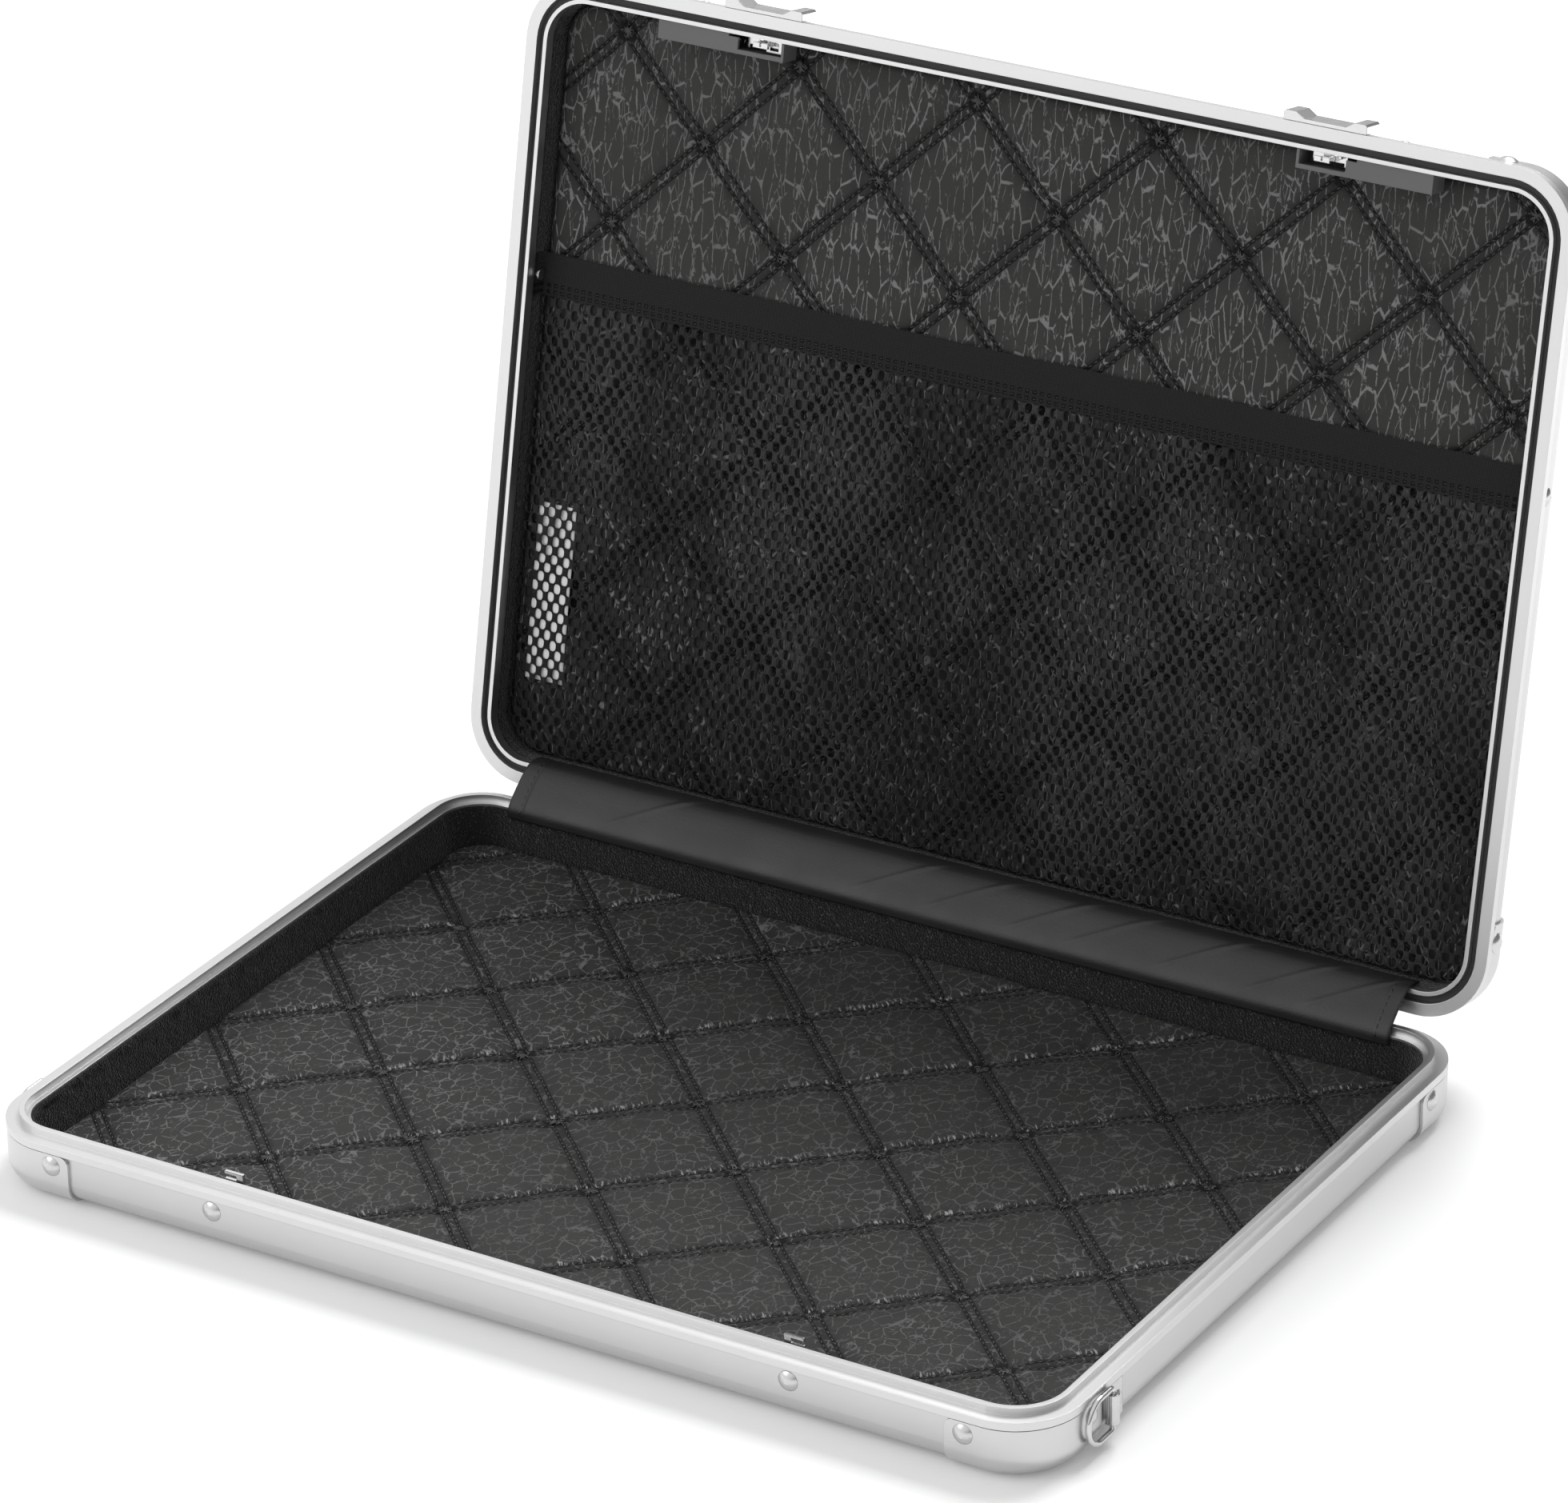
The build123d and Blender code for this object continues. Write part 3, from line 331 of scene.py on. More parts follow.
def felt(name):
    """Return the walls' black looped felt: dark pile with pale flecks and a soft sheen."""
    s = Surface(name, Roughness=0.95, Sheen_Weight=0.2, Specular_IOR_Level=0.2)
    pile = s.noise(0.9 * MM, 3.0, 0.7)
    curl = s.cells(0.8 * MM, feature="F1")
    fleck_and_glint = s.ramp(s.noise(0.8 * MM, 1.0, 0.5), 0.63, 0.74)
    shade = s.blend(pile, grey(0.004), grey(0.018))
    s.set("Base Color", s.blend(fleck_and_glint, shade, grey(0.10)))
    s.set("Normal", s.bump(curl, 0.5 * MM, s.bump(pile, 0.35 * MM)))
    return s.material


def webbing(name):
    """Return the elastic band's knitted ribs, pressed down along its two rows of stitches."""
    s = Surface(name, Roughness=0.8, Sheen_Weight=0.05, Specular_IOR_Level=0.15)
    threads = s.maths("MULTIPLY", s.stripes(0.7 * MM, "X"), s.stripes(0.55 * MM, "Y"))
    fuzz = s.noise(0.5 * MM, 3.0, 0.7)
    height = s.node("ShaderNodeSeparateXYZ", {0: s.place}).outputs["Y"]
    rows = [s.maths("ABSOLUTE", s.maths("SUBTRACT", height, row)) for row in ELASTIC_STITCHES]
    # Painted shade: dark dashes along the two rows of stitches stand in for the shade in the dimples they press.
    dash = s.ramp(s.stripes(ELASTIC_STITCH_STEP, "X"), 0.35, 0.6)
    sewn = s.maths("MULTIPLY", s.ramp(s.maths("MINIMUM", *rows), 0.75 * MM, 0.5 * MM), dash)
    knit = s.blend(s.maths("MULTIPLY", threads, fuzz), grey(0.012), grey(0.050))
    s.set("Base Color", s.blend(sewn, knit, grey(0.001)))
    dimple = s.bump(s.maths("SUBTRACT", 1.0, sewn), 0.4 * MM, s.bump(fuzz, 0.05 * MM))
    s.set("Normal", s.bump(threads, 0.12 * MM, dimple))
    return s.material


def netting(name):
    """Return the pocket net's knitted cord, rubbed smoother in broad slanting bands which also carry a painted
    sheen, and with painted glints on the cord.
    """
    s = Surface(name, Sheen_Weight=0.05, Specular_IOR_Level=0.25)
    twist = s.noise(0.5 * MM, 3.0, 0.7)
    slant = s.node("ShaderNodeMapping", {"Vector": s.place, "Rotation": (0.0, 0.0, 0.9), "Scale": (1.0, 0.35, 1.0)})
    # Broad slanting bands: less rough, and paler as a painted sheen.
    band = s.ramp(s.noise(42 * MM, 2.0, 0.5, place=slant.outputs[0]), 0.40, 0.60)
    # Painted glints: pale specks on the net's cord stand in for its small highlights.
    fleck_and_glint = s.ramp(s.noise(0.9 * MM, 2.0, 0.7), 0.58, 0.72)
    cord = s.blend(fleck_and_glint, s.blend(twist, grey(0.002), grey(0.010)), grey(0.030))
    wear_and_painted_sheen = s.blend(fleck_and_glint, s.blend(twist, grey(0.010), grey(0.034)), grey(0.075))
    s.set("Base Color", s.blend(band, cord, wear_and_painted_sheen))
    s.set("Roughness", s.maths("MULTIPLY_ADD", band, -0.15, 0.6))
    s.set("Normal", s.bump(twist, 0.2 * MM))
    return s.material


def smooth_leather(name):
    """Return the hinge flap's soft leatherette, finely grained and a little creased."""
    s = Surface(name, Specular_IOR_Level=0.5)
    grain = s.cells(0.7 * MM, feature="F1")
    crease = s.noise(30 * MM, 3.0, 0.6)
    s.set("Base Color", s.blend(crease, grey(0.013), grey(0.018)))
    s.set("Roughness", s.ramp(crease, 0.2, 0.8, 0.4, 0.55))
    s.set("Normal", s.bump(grain, 0.04 * MM, s.bump(crease, 0.3 * MM)))
    return s.material


def thread(name, tone):
    """Return waxed sewing thread, twisted along its length."""
    s = Surface(name, Specular_IOR_Level=0.6)
    ply = s.noise(0.5 * MM, 2.0, 0.6)
    # Painted highlights: the pale strands of the ply stand in for glints on the twisted thread.
    s.set("Base Color", s.blend(s.ramp(ply, 0.45, 0.7), grey(tone * 0.3), grey(tone * 2.0)))
    s.set("Roughness", s.ramp(ply, 0.2, 0.8, 0.25, 0.5))
    s.set("Normal", s.bump(ply, 0.12 * MM))
    return s.material


def moulded(name, tone, roughness, grain_size=0.6 * MM):
    """Return moulded plastic or rubber with a fine spark-eroded grain."""
    s = Surface(name, Specular_IOR_Level=0.4)
    grain = s.noise(grain_size, 2.0, 0.5)
    cloud = s.noise(12 * MM, 2.0)
    rounded = s.node("ShaderNodeBevel", {"Radius": 0.25 * MM}, samples=4).outputs[0]
    s.set("Base Color", s.blend(cloud, grey(tone * 0.93), grey(tone)))
    s.set("Roughness", s.ramp(grain, 0.2, 0.8, roughness - 0.06, roughness + 0.06))
    s.set("Normal", s.bump(grain, 0.03 * MM, rounded))
    return s.material


def card(name):
    """Return plain white card with paper fibres."""
    s = Surface(name, Specular_IOR_Level=0.3)
    fibres = s.noise(0.9 * MM, 4.0, 0.7)
    s.set("Base Color", s.blend(fibres, grey(0.82, 0.01), grey(0.93)))
    s.set("Roughness", s.ramp(fibres, 0.2, 0.8, 0.6, 0.8))
    s.set("Normal", s.bump(fibres, 0.02 * MM))
    return s.material


MATERIALS = {
    "shell_aluminium": metal("shell_aluminium", 0.62, 0.34, 0.35 * MM, 0.006 * MM),
    "rim_aluminium": metal("rim_aluminium", 0.69, 0.39, 0.5 * MM, 0.004 * MM),
    "cap_aluminium": metal("cap_aluminium", 0.64, 0.34, 0.35 * MM, 0.006 * MM),
    "rivet_metal": metal("rivet_metal", 0.62, 0.28, 0.4 * MM, 0.005 * MM),
    "hinge_steel": metal("hinge_steel", 0.60, 0.25, 0.4 * MM, 0.005 * MM),
    "latch_chrome": chrome("latch_chrome", 0.82, 0.16),
    "ring_chrome": chrome("ring_chrome", 0.62, 0.10),
    "spring_steel": chrome("spring_steel", 0.55, 0.25),
    "housing_plastic": moulded("housing_plastic", 0.135, 0.5),
    "seal_rubber": moulded("seal_rubber", 0.045, 0.6),
    "lining_felt": felt("lining_felt"),
    "elastic_webbing": webbing("elastic_webbing"),
    "pocket_mesh": netting("pocket_mesh"),
    "flap_leatherette": smooth_leather("flap_leatherette"),
    "label_card": card("label_card"),
}
BASE_LEATHER = crackled_leather(
    "base_pad_leatherette", BASE_QUILT_START, 0.030, 4.6 * MM, (1.0, 0.8, 1.0), 2.4 * MM, 0.14, True
)
LID_LEATHER = crackled_leather(
    "lid_pad_leatherette", LID_QUILT_START, 0.034, 4.0 * MM, (1.0, 0.29, 1.0), 0.9 * MM, 0.19, False
)
BLACK_THREAD = thread("black_thread", 0.010)


# ------------------------------------------------------------------ mesh helpers
def piece(name, points, faces, material, opened=False):
    """Make a smooth mesh object, turned open with the lid where it was made shut."""
    mesh = bpy.data.meshes.new(name)
    mesh.from_pydata(np.asarray(points).reshape(-1, 3), [], list(faces))
    mesh.materials.append(material)
    mesh.shade_smooth()
    obj = bpy.data.objects.new(name, mesh)
    bpy.context.scene.collection.objects.link(obj)
    if opened:
        obj.matrix_world = OPENED
    return obj


def grid_faces(rows, columns, closed=False):
    """Return the faces of a grid of points; closed joins the last row to the first."""
    index = np.arange(rows * columns).reshape(rows, columns)
    after = np.roll(index, -1, axis=0)
    if not closed:
        index, after = index[:-1], after[:-1]
    corners = (index[:, :-1], after[:, :-1], after[:, 1:], index[:, 1:])
    return np.stack(corners, axis=-1).reshape(-1, 4)


def bell(distance, width):
    """Return a bell curve, 1 at distance 0."""
    return np.exp(-((distance / width) ** 2))


def smooth(value, low, high):
    """Return 0 below low, 1 above high and a smooth step between them."""
    t = np.clip((value - low) / (high - low), 0, 1)
    return t * t * (3 - 2 * t)


def waves(x, y, size, count=5):
    """Return soft random waves of about the size given, between -1 and 1."""
    total = np.zeros_like(x)
    for _ in range(count):
        angle, phase = rng.uniform(0, 2 * math.pi, 2)
        turn = 2 * math.pi / (size * rng.uniform(0.7, 1.6))
        total += np.sin(turn * (x * math.cos(angle) + y * math.sin(angle)) + phase)
    return total / count


def outline(inset, spacing):
    """Return points along the case's outline, drawn in by an inset, and their outward normals."""
    radius = CORNER_RADIUS - inset
    reach_x, reach_y = HALF_WIDTH - CORNER_RADIUS, HALF_DEPTH - CORNER_RADIUS
    points, normals = [], []
    corners = ((reach_x, -reach_y), (reach_x, reach_y), (-reach_x, reach_y), (-reach_x, -reach_y))
    for number, centre in enumerate(corners):
        start = math.radians(-90 + 90 * number)
        bends = max(6, int(radius * math.pi / 2 / spacing))
        angles = start + np.linspace(0, math.pi / 2, bends + 1)
        ways = np.stack([np.cos(angles), np.sin(angles)], axis=1)
        arc = np.array(centre) + radius * ways
        after = np.array(corners[(number + 1) % 4]) + radius * ways[-1]
        steps = int(np.linalg.norm(after - arc[-1]) / spacing)
        share = np.linspace(0, 1, steps, endpoint=False)[1:, None]
        points += [arc, arc[-1] + share * (after - arc[-1])]
        normals += [ways, np.repeat(ways[-1:], steps - 1, axis=0)]
    return np.concatenate(points), np.concatenate(normals)


def stitched(name, centres, ways, ups, length, radius, opened=False):
    """Make a row of stitches: short threads that bulge in the middle and dip at their ends."""
    along = np.array([-1.0, -0.55, 0.55, 1.0])
    width = np.array([0.45, 1.0, 1.0, 0.45])
    dip = np.array([-0.9, 0.0, 0.0, -0.9])
    angles = np.linspace(0, 2 * math.pi, 5, endpoint=False)
    sides = np.cross(ups, ways)
    lengths = np.broadcast_to(np.asarray(length), (len(centres),))[:, None, None, None]
    ring = (
        ways[:, None, None] * (along[:, None, None] * lengths / 2)
        + sides[:, None, None] * (width[:, None, None] * radius * np.cos(angles)[:, None])
        + ups[:, None, None] * ((width[:, None] * np.sin(angles) + dip[:, None])[..., None] * radius)
    )
    points = centres[:, None, None] + ring
    rings, around = len(along), len(angles)
    index = np.arange(rings * around).reshape(rings, around)
    beside = np.roll(index, -1, axis=1)
    walls = np.stack([index[:-1], beside[:-1], beside[1:], index[1:]], axis=-1).reshape(-1, 4)
    offsets = np.arange(len(centres))[:, None] * rings * around
    faces = (walls[None] + offsets[..., None]).reshape(-1, 4).tolist()
    faces += (index[0][::-1] + offsets).tolist()
    faces += (index[-1] + offsets).tolist()
    obj = piece(name, points, faces, BLACK_THREAD, opened)
    return obj


# ------------------------------------------------------------------ cloth simulation
def simulate(points, faces, held, opened=False, pressure=0.0, grow=0.0, stiffness=15.0, bending=0.5):
    """Return where a sheet's points come to rest when it is blown out from behind.

    held says how firmly each point is pinned, and grow how much larger the sheet is cut than
    its frame, which lets it crumple.
    """
    mesh = bpy.data.meshes.new("sheet")
    mesh.from_pydata(np.asarray(points), [], np.asarray(faces).tolist())
    obj = bpy.data.objects.new("sheet", mesh)
    scene = bpy.context.scene
    scene.collection.objects.link(obj)
    if opened:
        obj.matrix_world = OPENED
    group = obj.vertex_groups.new(name="held")
    for index in np.flatnonzero(held):
        group.add([int(index)], float(held[index]), "REPLACE")
    cloth = obj.modifiers.new("cloth", "CLOTH")
    settings = cloth.settings
    settings.quality = 5
    settings.mass = 0.15
    settings.vertex_group_mass = group.name
    settings.tension_stiffness = stiffness
    settings.compression_stiffness = stiffness
    settings.bending_stiffness = bending
    settings.shrink_min = -grow
    settings.effector_weights.gravity = 0.0
    settings.use_pressure = True
    settings.uniform_pressure_force = pressure
    cloth.point_cache.frame_start = 1
    cloth.point_cache.frame_end = 20
    for number in range(1, 21):
        scene.frame_set(number)
    moved = obj.evaluated_get(bpy.context.evaluated_depsgraph_get()).to_mesh()
    rested = np.empty(len(points) * 3, np.float32)
    moved.vertices.foreach_get("co", rested)
    scene.frame_set(1)
    bpy.data.objects.remove(obj)
    bpy.data.meshes.remove(mesh)
    return rested.reshape(-1, 3).astype(float)


# ------------------------------------------------------------------ quilted pads
PUFF_DEPTH = 1.7 * MM  # from a cushion's top down to its channels
LATTICE = 14  # cloth points along one cushion
KNOT_TURNS = (0.0, 90.0, 38.0, -41.0, 64.0, -18.0, 17.0, -66.0, 51.0)  # ways of the stitches that cross in a knot


def seam_places(x, y, start):
    """Return each point's place in units of the quilting, along its two families of seams."""
    across, along = (x - start[0]) / QUILT_X, (y - start[1]) / QUILT_Y
    return across + along, across - along


def seam_distances(x, y, start):
    """Return each point's distance from the nearest seam of either family."""
    places = seam_places(x, y, start)
    return [QUILT_PITCH * np.abs(place - np.round(place)) for place in places]


def blown_swell(start, half_x, half_y):
    """Blow up a sheet that is held along the seams, and return its swelling as a function."""
    reach = int((half_x / QUILT_X + half_y / QUILT_Y + 1) * LATTICE)
    shift = [round(place * LATTICE) for place in seam_places(0.0, 0.0, start)]
    u, v = np.meshgrid(
        np.arange(shift[0] - reach, shift[0] + reach + 1),
        np.arange(shift[1] - reach, shift[1] + reach + 1),
        indexing="ij",
    )
    x = start[0] + QUILT_X * (u + v) / (2 * LATTICE)
    y = start[1] + QUILT_Y * (u - v) / (2 * LATTICE)
    inside = (np.abs(x) < half_x + QUILT_X / 4) & (np.abs(y) < half_y + QUILT_Y / 4)
    size = 2 * reach + 1
    faces = grid_faces(size, size)
    faces = faces[inside.ravel()[faces].all(axis=1)]
    used = np.unique(faces)
    number = np.full(size * size, -1)
    number[used] = np.arange(len(used))
    flat = np.stack([x, y, 0.15 * MM * waves(x, y, 14 * MM)], axis=-1).reshape(-1, 3)[used]
    held = ((u % LATTICE == 0) | (v % LATTICE == 0)).ravel()[used].astype(float)
    rested = simulate(flat, number[faces][:, ::-1], held, pressure=6.0, grow=0.004, stiffness=5.0, bending=0.5)
    lift = np.zeros(size * size)
    lift[used] = rested[:, 2]
    lift = lift.reshape(size, size)
    peak = np.percentile(lift[inside], 95)

    def swell(x, y):
        places = seam_places(x, y, start)
        rows = np.clip(places[0] * LATTICE - shift[0] + reach, 0, size - 1.001)
        columns = np.clip(places[1] * LATTICE - shift[1] + reach, 0, size - 1.001)
        row, column = rows.astype(int), columns.astype(int)
        p, q = rows - row, columns - column
        found = (
            lift[row, column] * (1 - p) * (1 - q)
            + lift[row + 1, column] * p * (1 - q)
            + lift[row, column + 1] * (1 - p) * q
            + lift[row + 1, column + 1] * p * q
        )
        return np.tanh(2.2 * found / peak) / math.tanh(2.2)

    return swell


def pad_grid(half_x, half_y, radius):
    """Return plan points of a pad, whose outer rows follow the rounded outline, and their
    distance from that outline."""
    rim = np.array([0.0, 0.12, 0.4, 0.85, 1.5, 2.3, 3.2]) * MM
    spacing = 0.9 * MM

    def stops(half):
        inner = half - rim[-1] - spacing
        middle = np.linspace(-inner, inner, int(2 * inner / spacing) + 1)
        return np.concatenate([-half + rim, middle, half - rim[::-1]])

    x, y = np.meshgrid(stops(half_x), stops(half_y), indexing="ij")
    a, b = np.abs(x) - (half_x - radius), np.abs(y) - (half_y - radius)
    longest = np.maximum(a, b)
    in_corner = (a > 0) & (b > 0)
    pull = np.where(in_corner, longest / np.maximum(np.hypot(a, b), 1e-9), 1.0)
    x = np.where(in_corner, np.sign(x) * (half_x - radius + a * pull), x)
    y = np.where(in_corner, np.sign(y) * (half_y - radius + b * pull), y)
    return x, y, radius - longest


def pad_surface(start, back, face, half_x, half_y):
    """Return a function that gives the pad's height over its back, at a point and its distance
    from the outline."""
    thickness = abs(face - back)
    swell = blown_swell(start, half_x, half_y)

    def height(x, y, edge):
        first, second = seam_distances(x, y, start)
        near = np.minimum(first, second)
        channel = PUFF_DEPTH * (1 - swell(x, y))
        channel += 0.45 * MM * bell(near - SEAM_ROW, 0.65 * MM) - 0.55 * MM * bell(near, 1.0 * MM)
        channel += 0.55 * MM * bell(np.hypot(first, second), 2.6 * MM)
        rounded = np.sqrt(1 - (1 - np.clip(edge / (4 * MM), 0, 1)) ** 2)
        return rounded * (thickness - channel * smooth(edge, 0, 6 * MM))

    return height


def quilted_pad(name, start, back, face, material, body, opened):
    """Make a quilted pad and the double rows of stitches in its channels."""
    out = 1 if face > back else -1
    half_x, half_y = HALF_WIDTH - PAD_INSET, HALF_DEPTH - PAD_INSET
    radius = CORNER_RADIUS - PAD_INSET
    x, y, edge = pad_grid(half_x, half_y, radius)
    height = pad_surface(start, back, face, half_x, half_y)
    points = np.stack([x, y, back + out * height(x, y, edge)], axis=-1)
    rows, columns = x.shape
    faces = grid_faces(rows, columns)
    index = np.arange(rows * columns).reshape(rows, columns)
    loop = np.concatenate([index[0, :-1], index[:-1, -1], index[-1, :0:-1], index[:0:-1, 0]])
    faces = (faces if out > 0 else faces[:, ::-1]).tolist()
    faces.append((loop if out > 0 else loop[::-1]).tolist())
    pad = piece(name, points, faces, material, opened)
    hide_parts(name.replace("_quilted", ""))
    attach(pad, body)

    step = 2.6 * MM
    length = math.hypot(QUILT_X, QUILT_Y) / 2
    centres, ways = [], []
    lines = np.arange(-14, 15)
    for lean in (1, -1):
        way = np.array([QUILT_X, -lean * QUILT_Y, 0.0]) / (2 * length)
        normal = np.array([-way[1], way[0], 0.0])
        for line in lines:
            run = np.arange(-14 * length, 14 * length, step)
            for row in (-SEAM_ROW, SEAM_ROW):
                origin = np.array([start[0] + QUILT_X * line, start[1], 0.0]) + row * normal
                centres.append(origin + way * run[:, None])
                ways.append(np.repeat(way[None], len(run), axis=0))
    knots = []
    for line in lines:
        for turn in lines:
            place = (start[0] + QUILT_X * (line + turn) / 2, start[1] + QUILT_Y * (line - turn) / 2, 0.0)
            knots += [place] * len(KNOT_TURNS)
    turns = np.tile(np.radians(KNOT_TURNS), len(knots) // len(KNOT_TURNS))
    centres.append(np.array(knots) + rng.normal(0, 0.35 * MM, (len(knots), 3)))
    ways.append(np.stack([np.cos(turns), np.sin(turns), 0 * turns], axis=1))
    centres, ways = np.concatenate(centres), np.concatenate(ways)
    lengths = np.full(len(centres), 1.95 * MM)
    lengths[-len(knots) :] = 5.2 * MM
    a, b = np.abs(centres[:, 0]) - (half_x - radius), np.abs(centres[:, 1]) - (half_y - radius)
    outside = np.where((a > 0) & (b > 0), np.hypot(a, b), np.maximum(a, b))
    kept = radius - outside > 2.5 * MM
    centres, ways, lengths, edges = centres[kept], ways[kept], lengths[kept], (radius - outside)[kept]
    heights = height(centres[:, 0], centres[:, 1], edges) + 0.12 * MM
    centres[:, 2] = back + out * heights
    sway = rng.normal(0, math.radians(9), len(centres))
    ways = np.stack(
        [
            ways[:, 0] * np.cos(sway) - ways[:, 1] * np.sin(sway),
            ways[:, 0] * np.sin(sway) + ways[:, 1] * np.cos(sway),
            0 * sway,
        ],
        axis=1,
    )
    ups = np.repeat(np.array([[0.0, 0.0, float(out)]]), len(centres), axis=0)
    sewn = stitched(f"{name}_stitches", centres, ways, ups, lengths, 0.34 * MM, opened)
    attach(sewn, body)
    return height


quilted_pad("base_pad_quilted", BASE_QUILT_START, BASE_PAD_BACK, BASE_PAD_FACE, BASE_LEATHER, "base", False)
lid_height = quilted_pad(
    "lid_pad_quilted", LID_QUILT_START, LID_PAD_BACK, LID_PAD_FACE, LID_LEATHER, "lid", True
)


# ------------------------------------------------------------------ felt on the walls
def wall_lining(name, heights, cut, body, opened):
    """Make the felt strip that runs round the inside of a shell, cut out round the latches."""
    points, normals = outline(LINING_MIDDLE, 1.2 * MM)
    (cut_start, cut_end), (cut_low, cut_high) = cut
    levels = np.linspace(*heights, 16)
    levels = np.unique(np.round(np.concatenate([levels, np.clip((cut_low, cut_high), *heights)]), 7))
    columns, rows = len(points), len(levels)
    z = np.broadcast_to(levels, (columns, rows))
    run = np.arange(columns)[:, None] * 1.2 * MM
    fuzz = 0.10 * MM * rng.normal(0, 1, (columns, rows)) + 0.12 * MM * waves(run + 0 * z, z, 22 * MM)
    fuzz *= smooth(np.minimum(z - heights[0], heights[1] - z), -1 * MM, 1.5 * MM)
    xy = points[:, None] + normals[:, None] * fuzz.clip(-0.3 * MM, 0.3 * MM)[..., None]
    grid = np.concatenate([xy, z[..., None]], axis=-1)
    faces = grid_faces(columns, rows, closed=True)
    middles = grid.reshape(-1, 3)[faces].mean(axis=1)
    inside = (
        (middles[:, 1] < 0)
        & (np.abs(middles[:, 0]) > cut_start)
        & (np.abs(middles[:, 0]) < cut_end)
        & (middles[:, 2] > cut_low)
        & (middles[:, 2] < cut_high)
    )
    lining = piece(name, grid, faces[~inside], MATERIALS["lining_felt"], opened)
    solid = lining.modifiers.new("thickness", "SOLIDIFY")
    solid.thickness = LINING_THICKNESS
    solid.offset = 0.0
    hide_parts(name.replace("_felt", ""))
    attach(lining, body)


wall_lining("base_wall_lining_felt", BASE_LINING, STRIKER_SLOT, "base", False)
wall_lining("lid_wall_lining_felt", LID_LINING, HOUSING_NOTCH, "lid", True)


# ------------------------------------------------------------------ elastic band, net and label
def elastic_band():
    """Make the ribbed band across the lid, with its ends turned along the side walls."""
    ribs, low, high = 13, *ELASTIC_Z
    middle, half = (low + high) / 2, (high - low) / 2
    bend = 1.2 * MM
    end = ELASTIC_END - half
    angles = np.linspace(0, math.pi / 2, 6)
    down = np.arange(ELASTIC_TAB, middle - bend, 1.0 * MM)
    side = [(end, z, 1.0, 0.0) for z in down]
    side += [
        (end - bend + bend * math.cos(t), middle - bend + bend * math.sin(t), math.cos(t), math.sin(t))
        for t in angles
    ]
    across = np.arange(end - bend - 2 * MM, -(end - bend), -2 * MM)
    path = side + [(x, middle, 0.0, 1.0) for x in across]
    path += [(-x, z, -nx, nz) for x, z, nx, nz in reversed(side)]
    path = np.array(path)
    share = np.linspace(-1, 1, ribs * 4 + 1)
    rib = 0.09 * MM * np.cos(share * ribs * math.pi)
    face = half - 0.1 * MM + rib
    rim = np.sqrt(np.clip(1 - np.abs(share) ** 18, 0, 1))
    upper, lower = face * rim, -face * rim
    section_y = np.concatenate([share, share[-2:0:-1]])
    section_n = np.concatenate([upper, lower[-2:0:-1]])
    y_middle, y_half = sum(ELASTIC_Y) / 2, (ELASTIC_Y[1] - ELASTIC_Y[0]) / 2
    wander = 0.25 * MM * waves(path[:, 0], 0 * path[:, 0], 120 * MM)
    wander *= smooth(end - np.abs(path[:, 0]), 0, 20 * MM)
    y = y_middle + y_half * section_y[None] + wander[:, None]
    x = path[:, 0, None] + path[:, 2, None] * section_n[None]
    z = path[:, 1, None] + path[:, 3, None] * section_n[None]
    rows, columns = x.shape
    faces = grid_faces(columns, rows, closed=True)
    points = np.stack([x, y, z], axis=-1).transpose(1, 0, 2)
    band = piece("elastic_band_ribbed", points, faces, MATERIALS["elastic_webbing"], True)
    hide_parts("elastic_band")
    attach(band, "lid")
    centres = []
    for place in ELASTIC_STITCHES:
        first = (round((5 * MM - end) / ELASTIC_STITCH_STEP) + 0.25) * ELASTIC_STITCH_STEP
        run = np.arange(first, end - 5 * MM, ELASTIC_STITCH_STEP)
        centres.append(np.stack([run, 0 * run + place, 0 * run + low + 0.08 * MM], axis=1))
    centres = np.concatenate(centres) + rng.normal(0, 0.08 * MM, (sum(map(len, centres)), 3))
    centres[:, 2] = low + 0.2 * MM
    ways = np.repeat([[1.0, 0.0, 0.0]], len(centres), axis=0)
    ups = np.repeat([[0.0, 0.0, -1.0]], len(centres), axis=0)
    sewn = stitched("elastic_stitches", centres, ways, ups, 1.5 * MM, 0.22 * MM, True)
    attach(sewn, "lid")


NET_PITCH_X = 4.7 * MM
NET_PITCH_Y = 3.3 * MM
NET_HOLE = (1.28 * MM, 1.78 * MM)
NET_FOLD = 1.1 * MM  # half of how far its folds stand off the pad, which holds it back


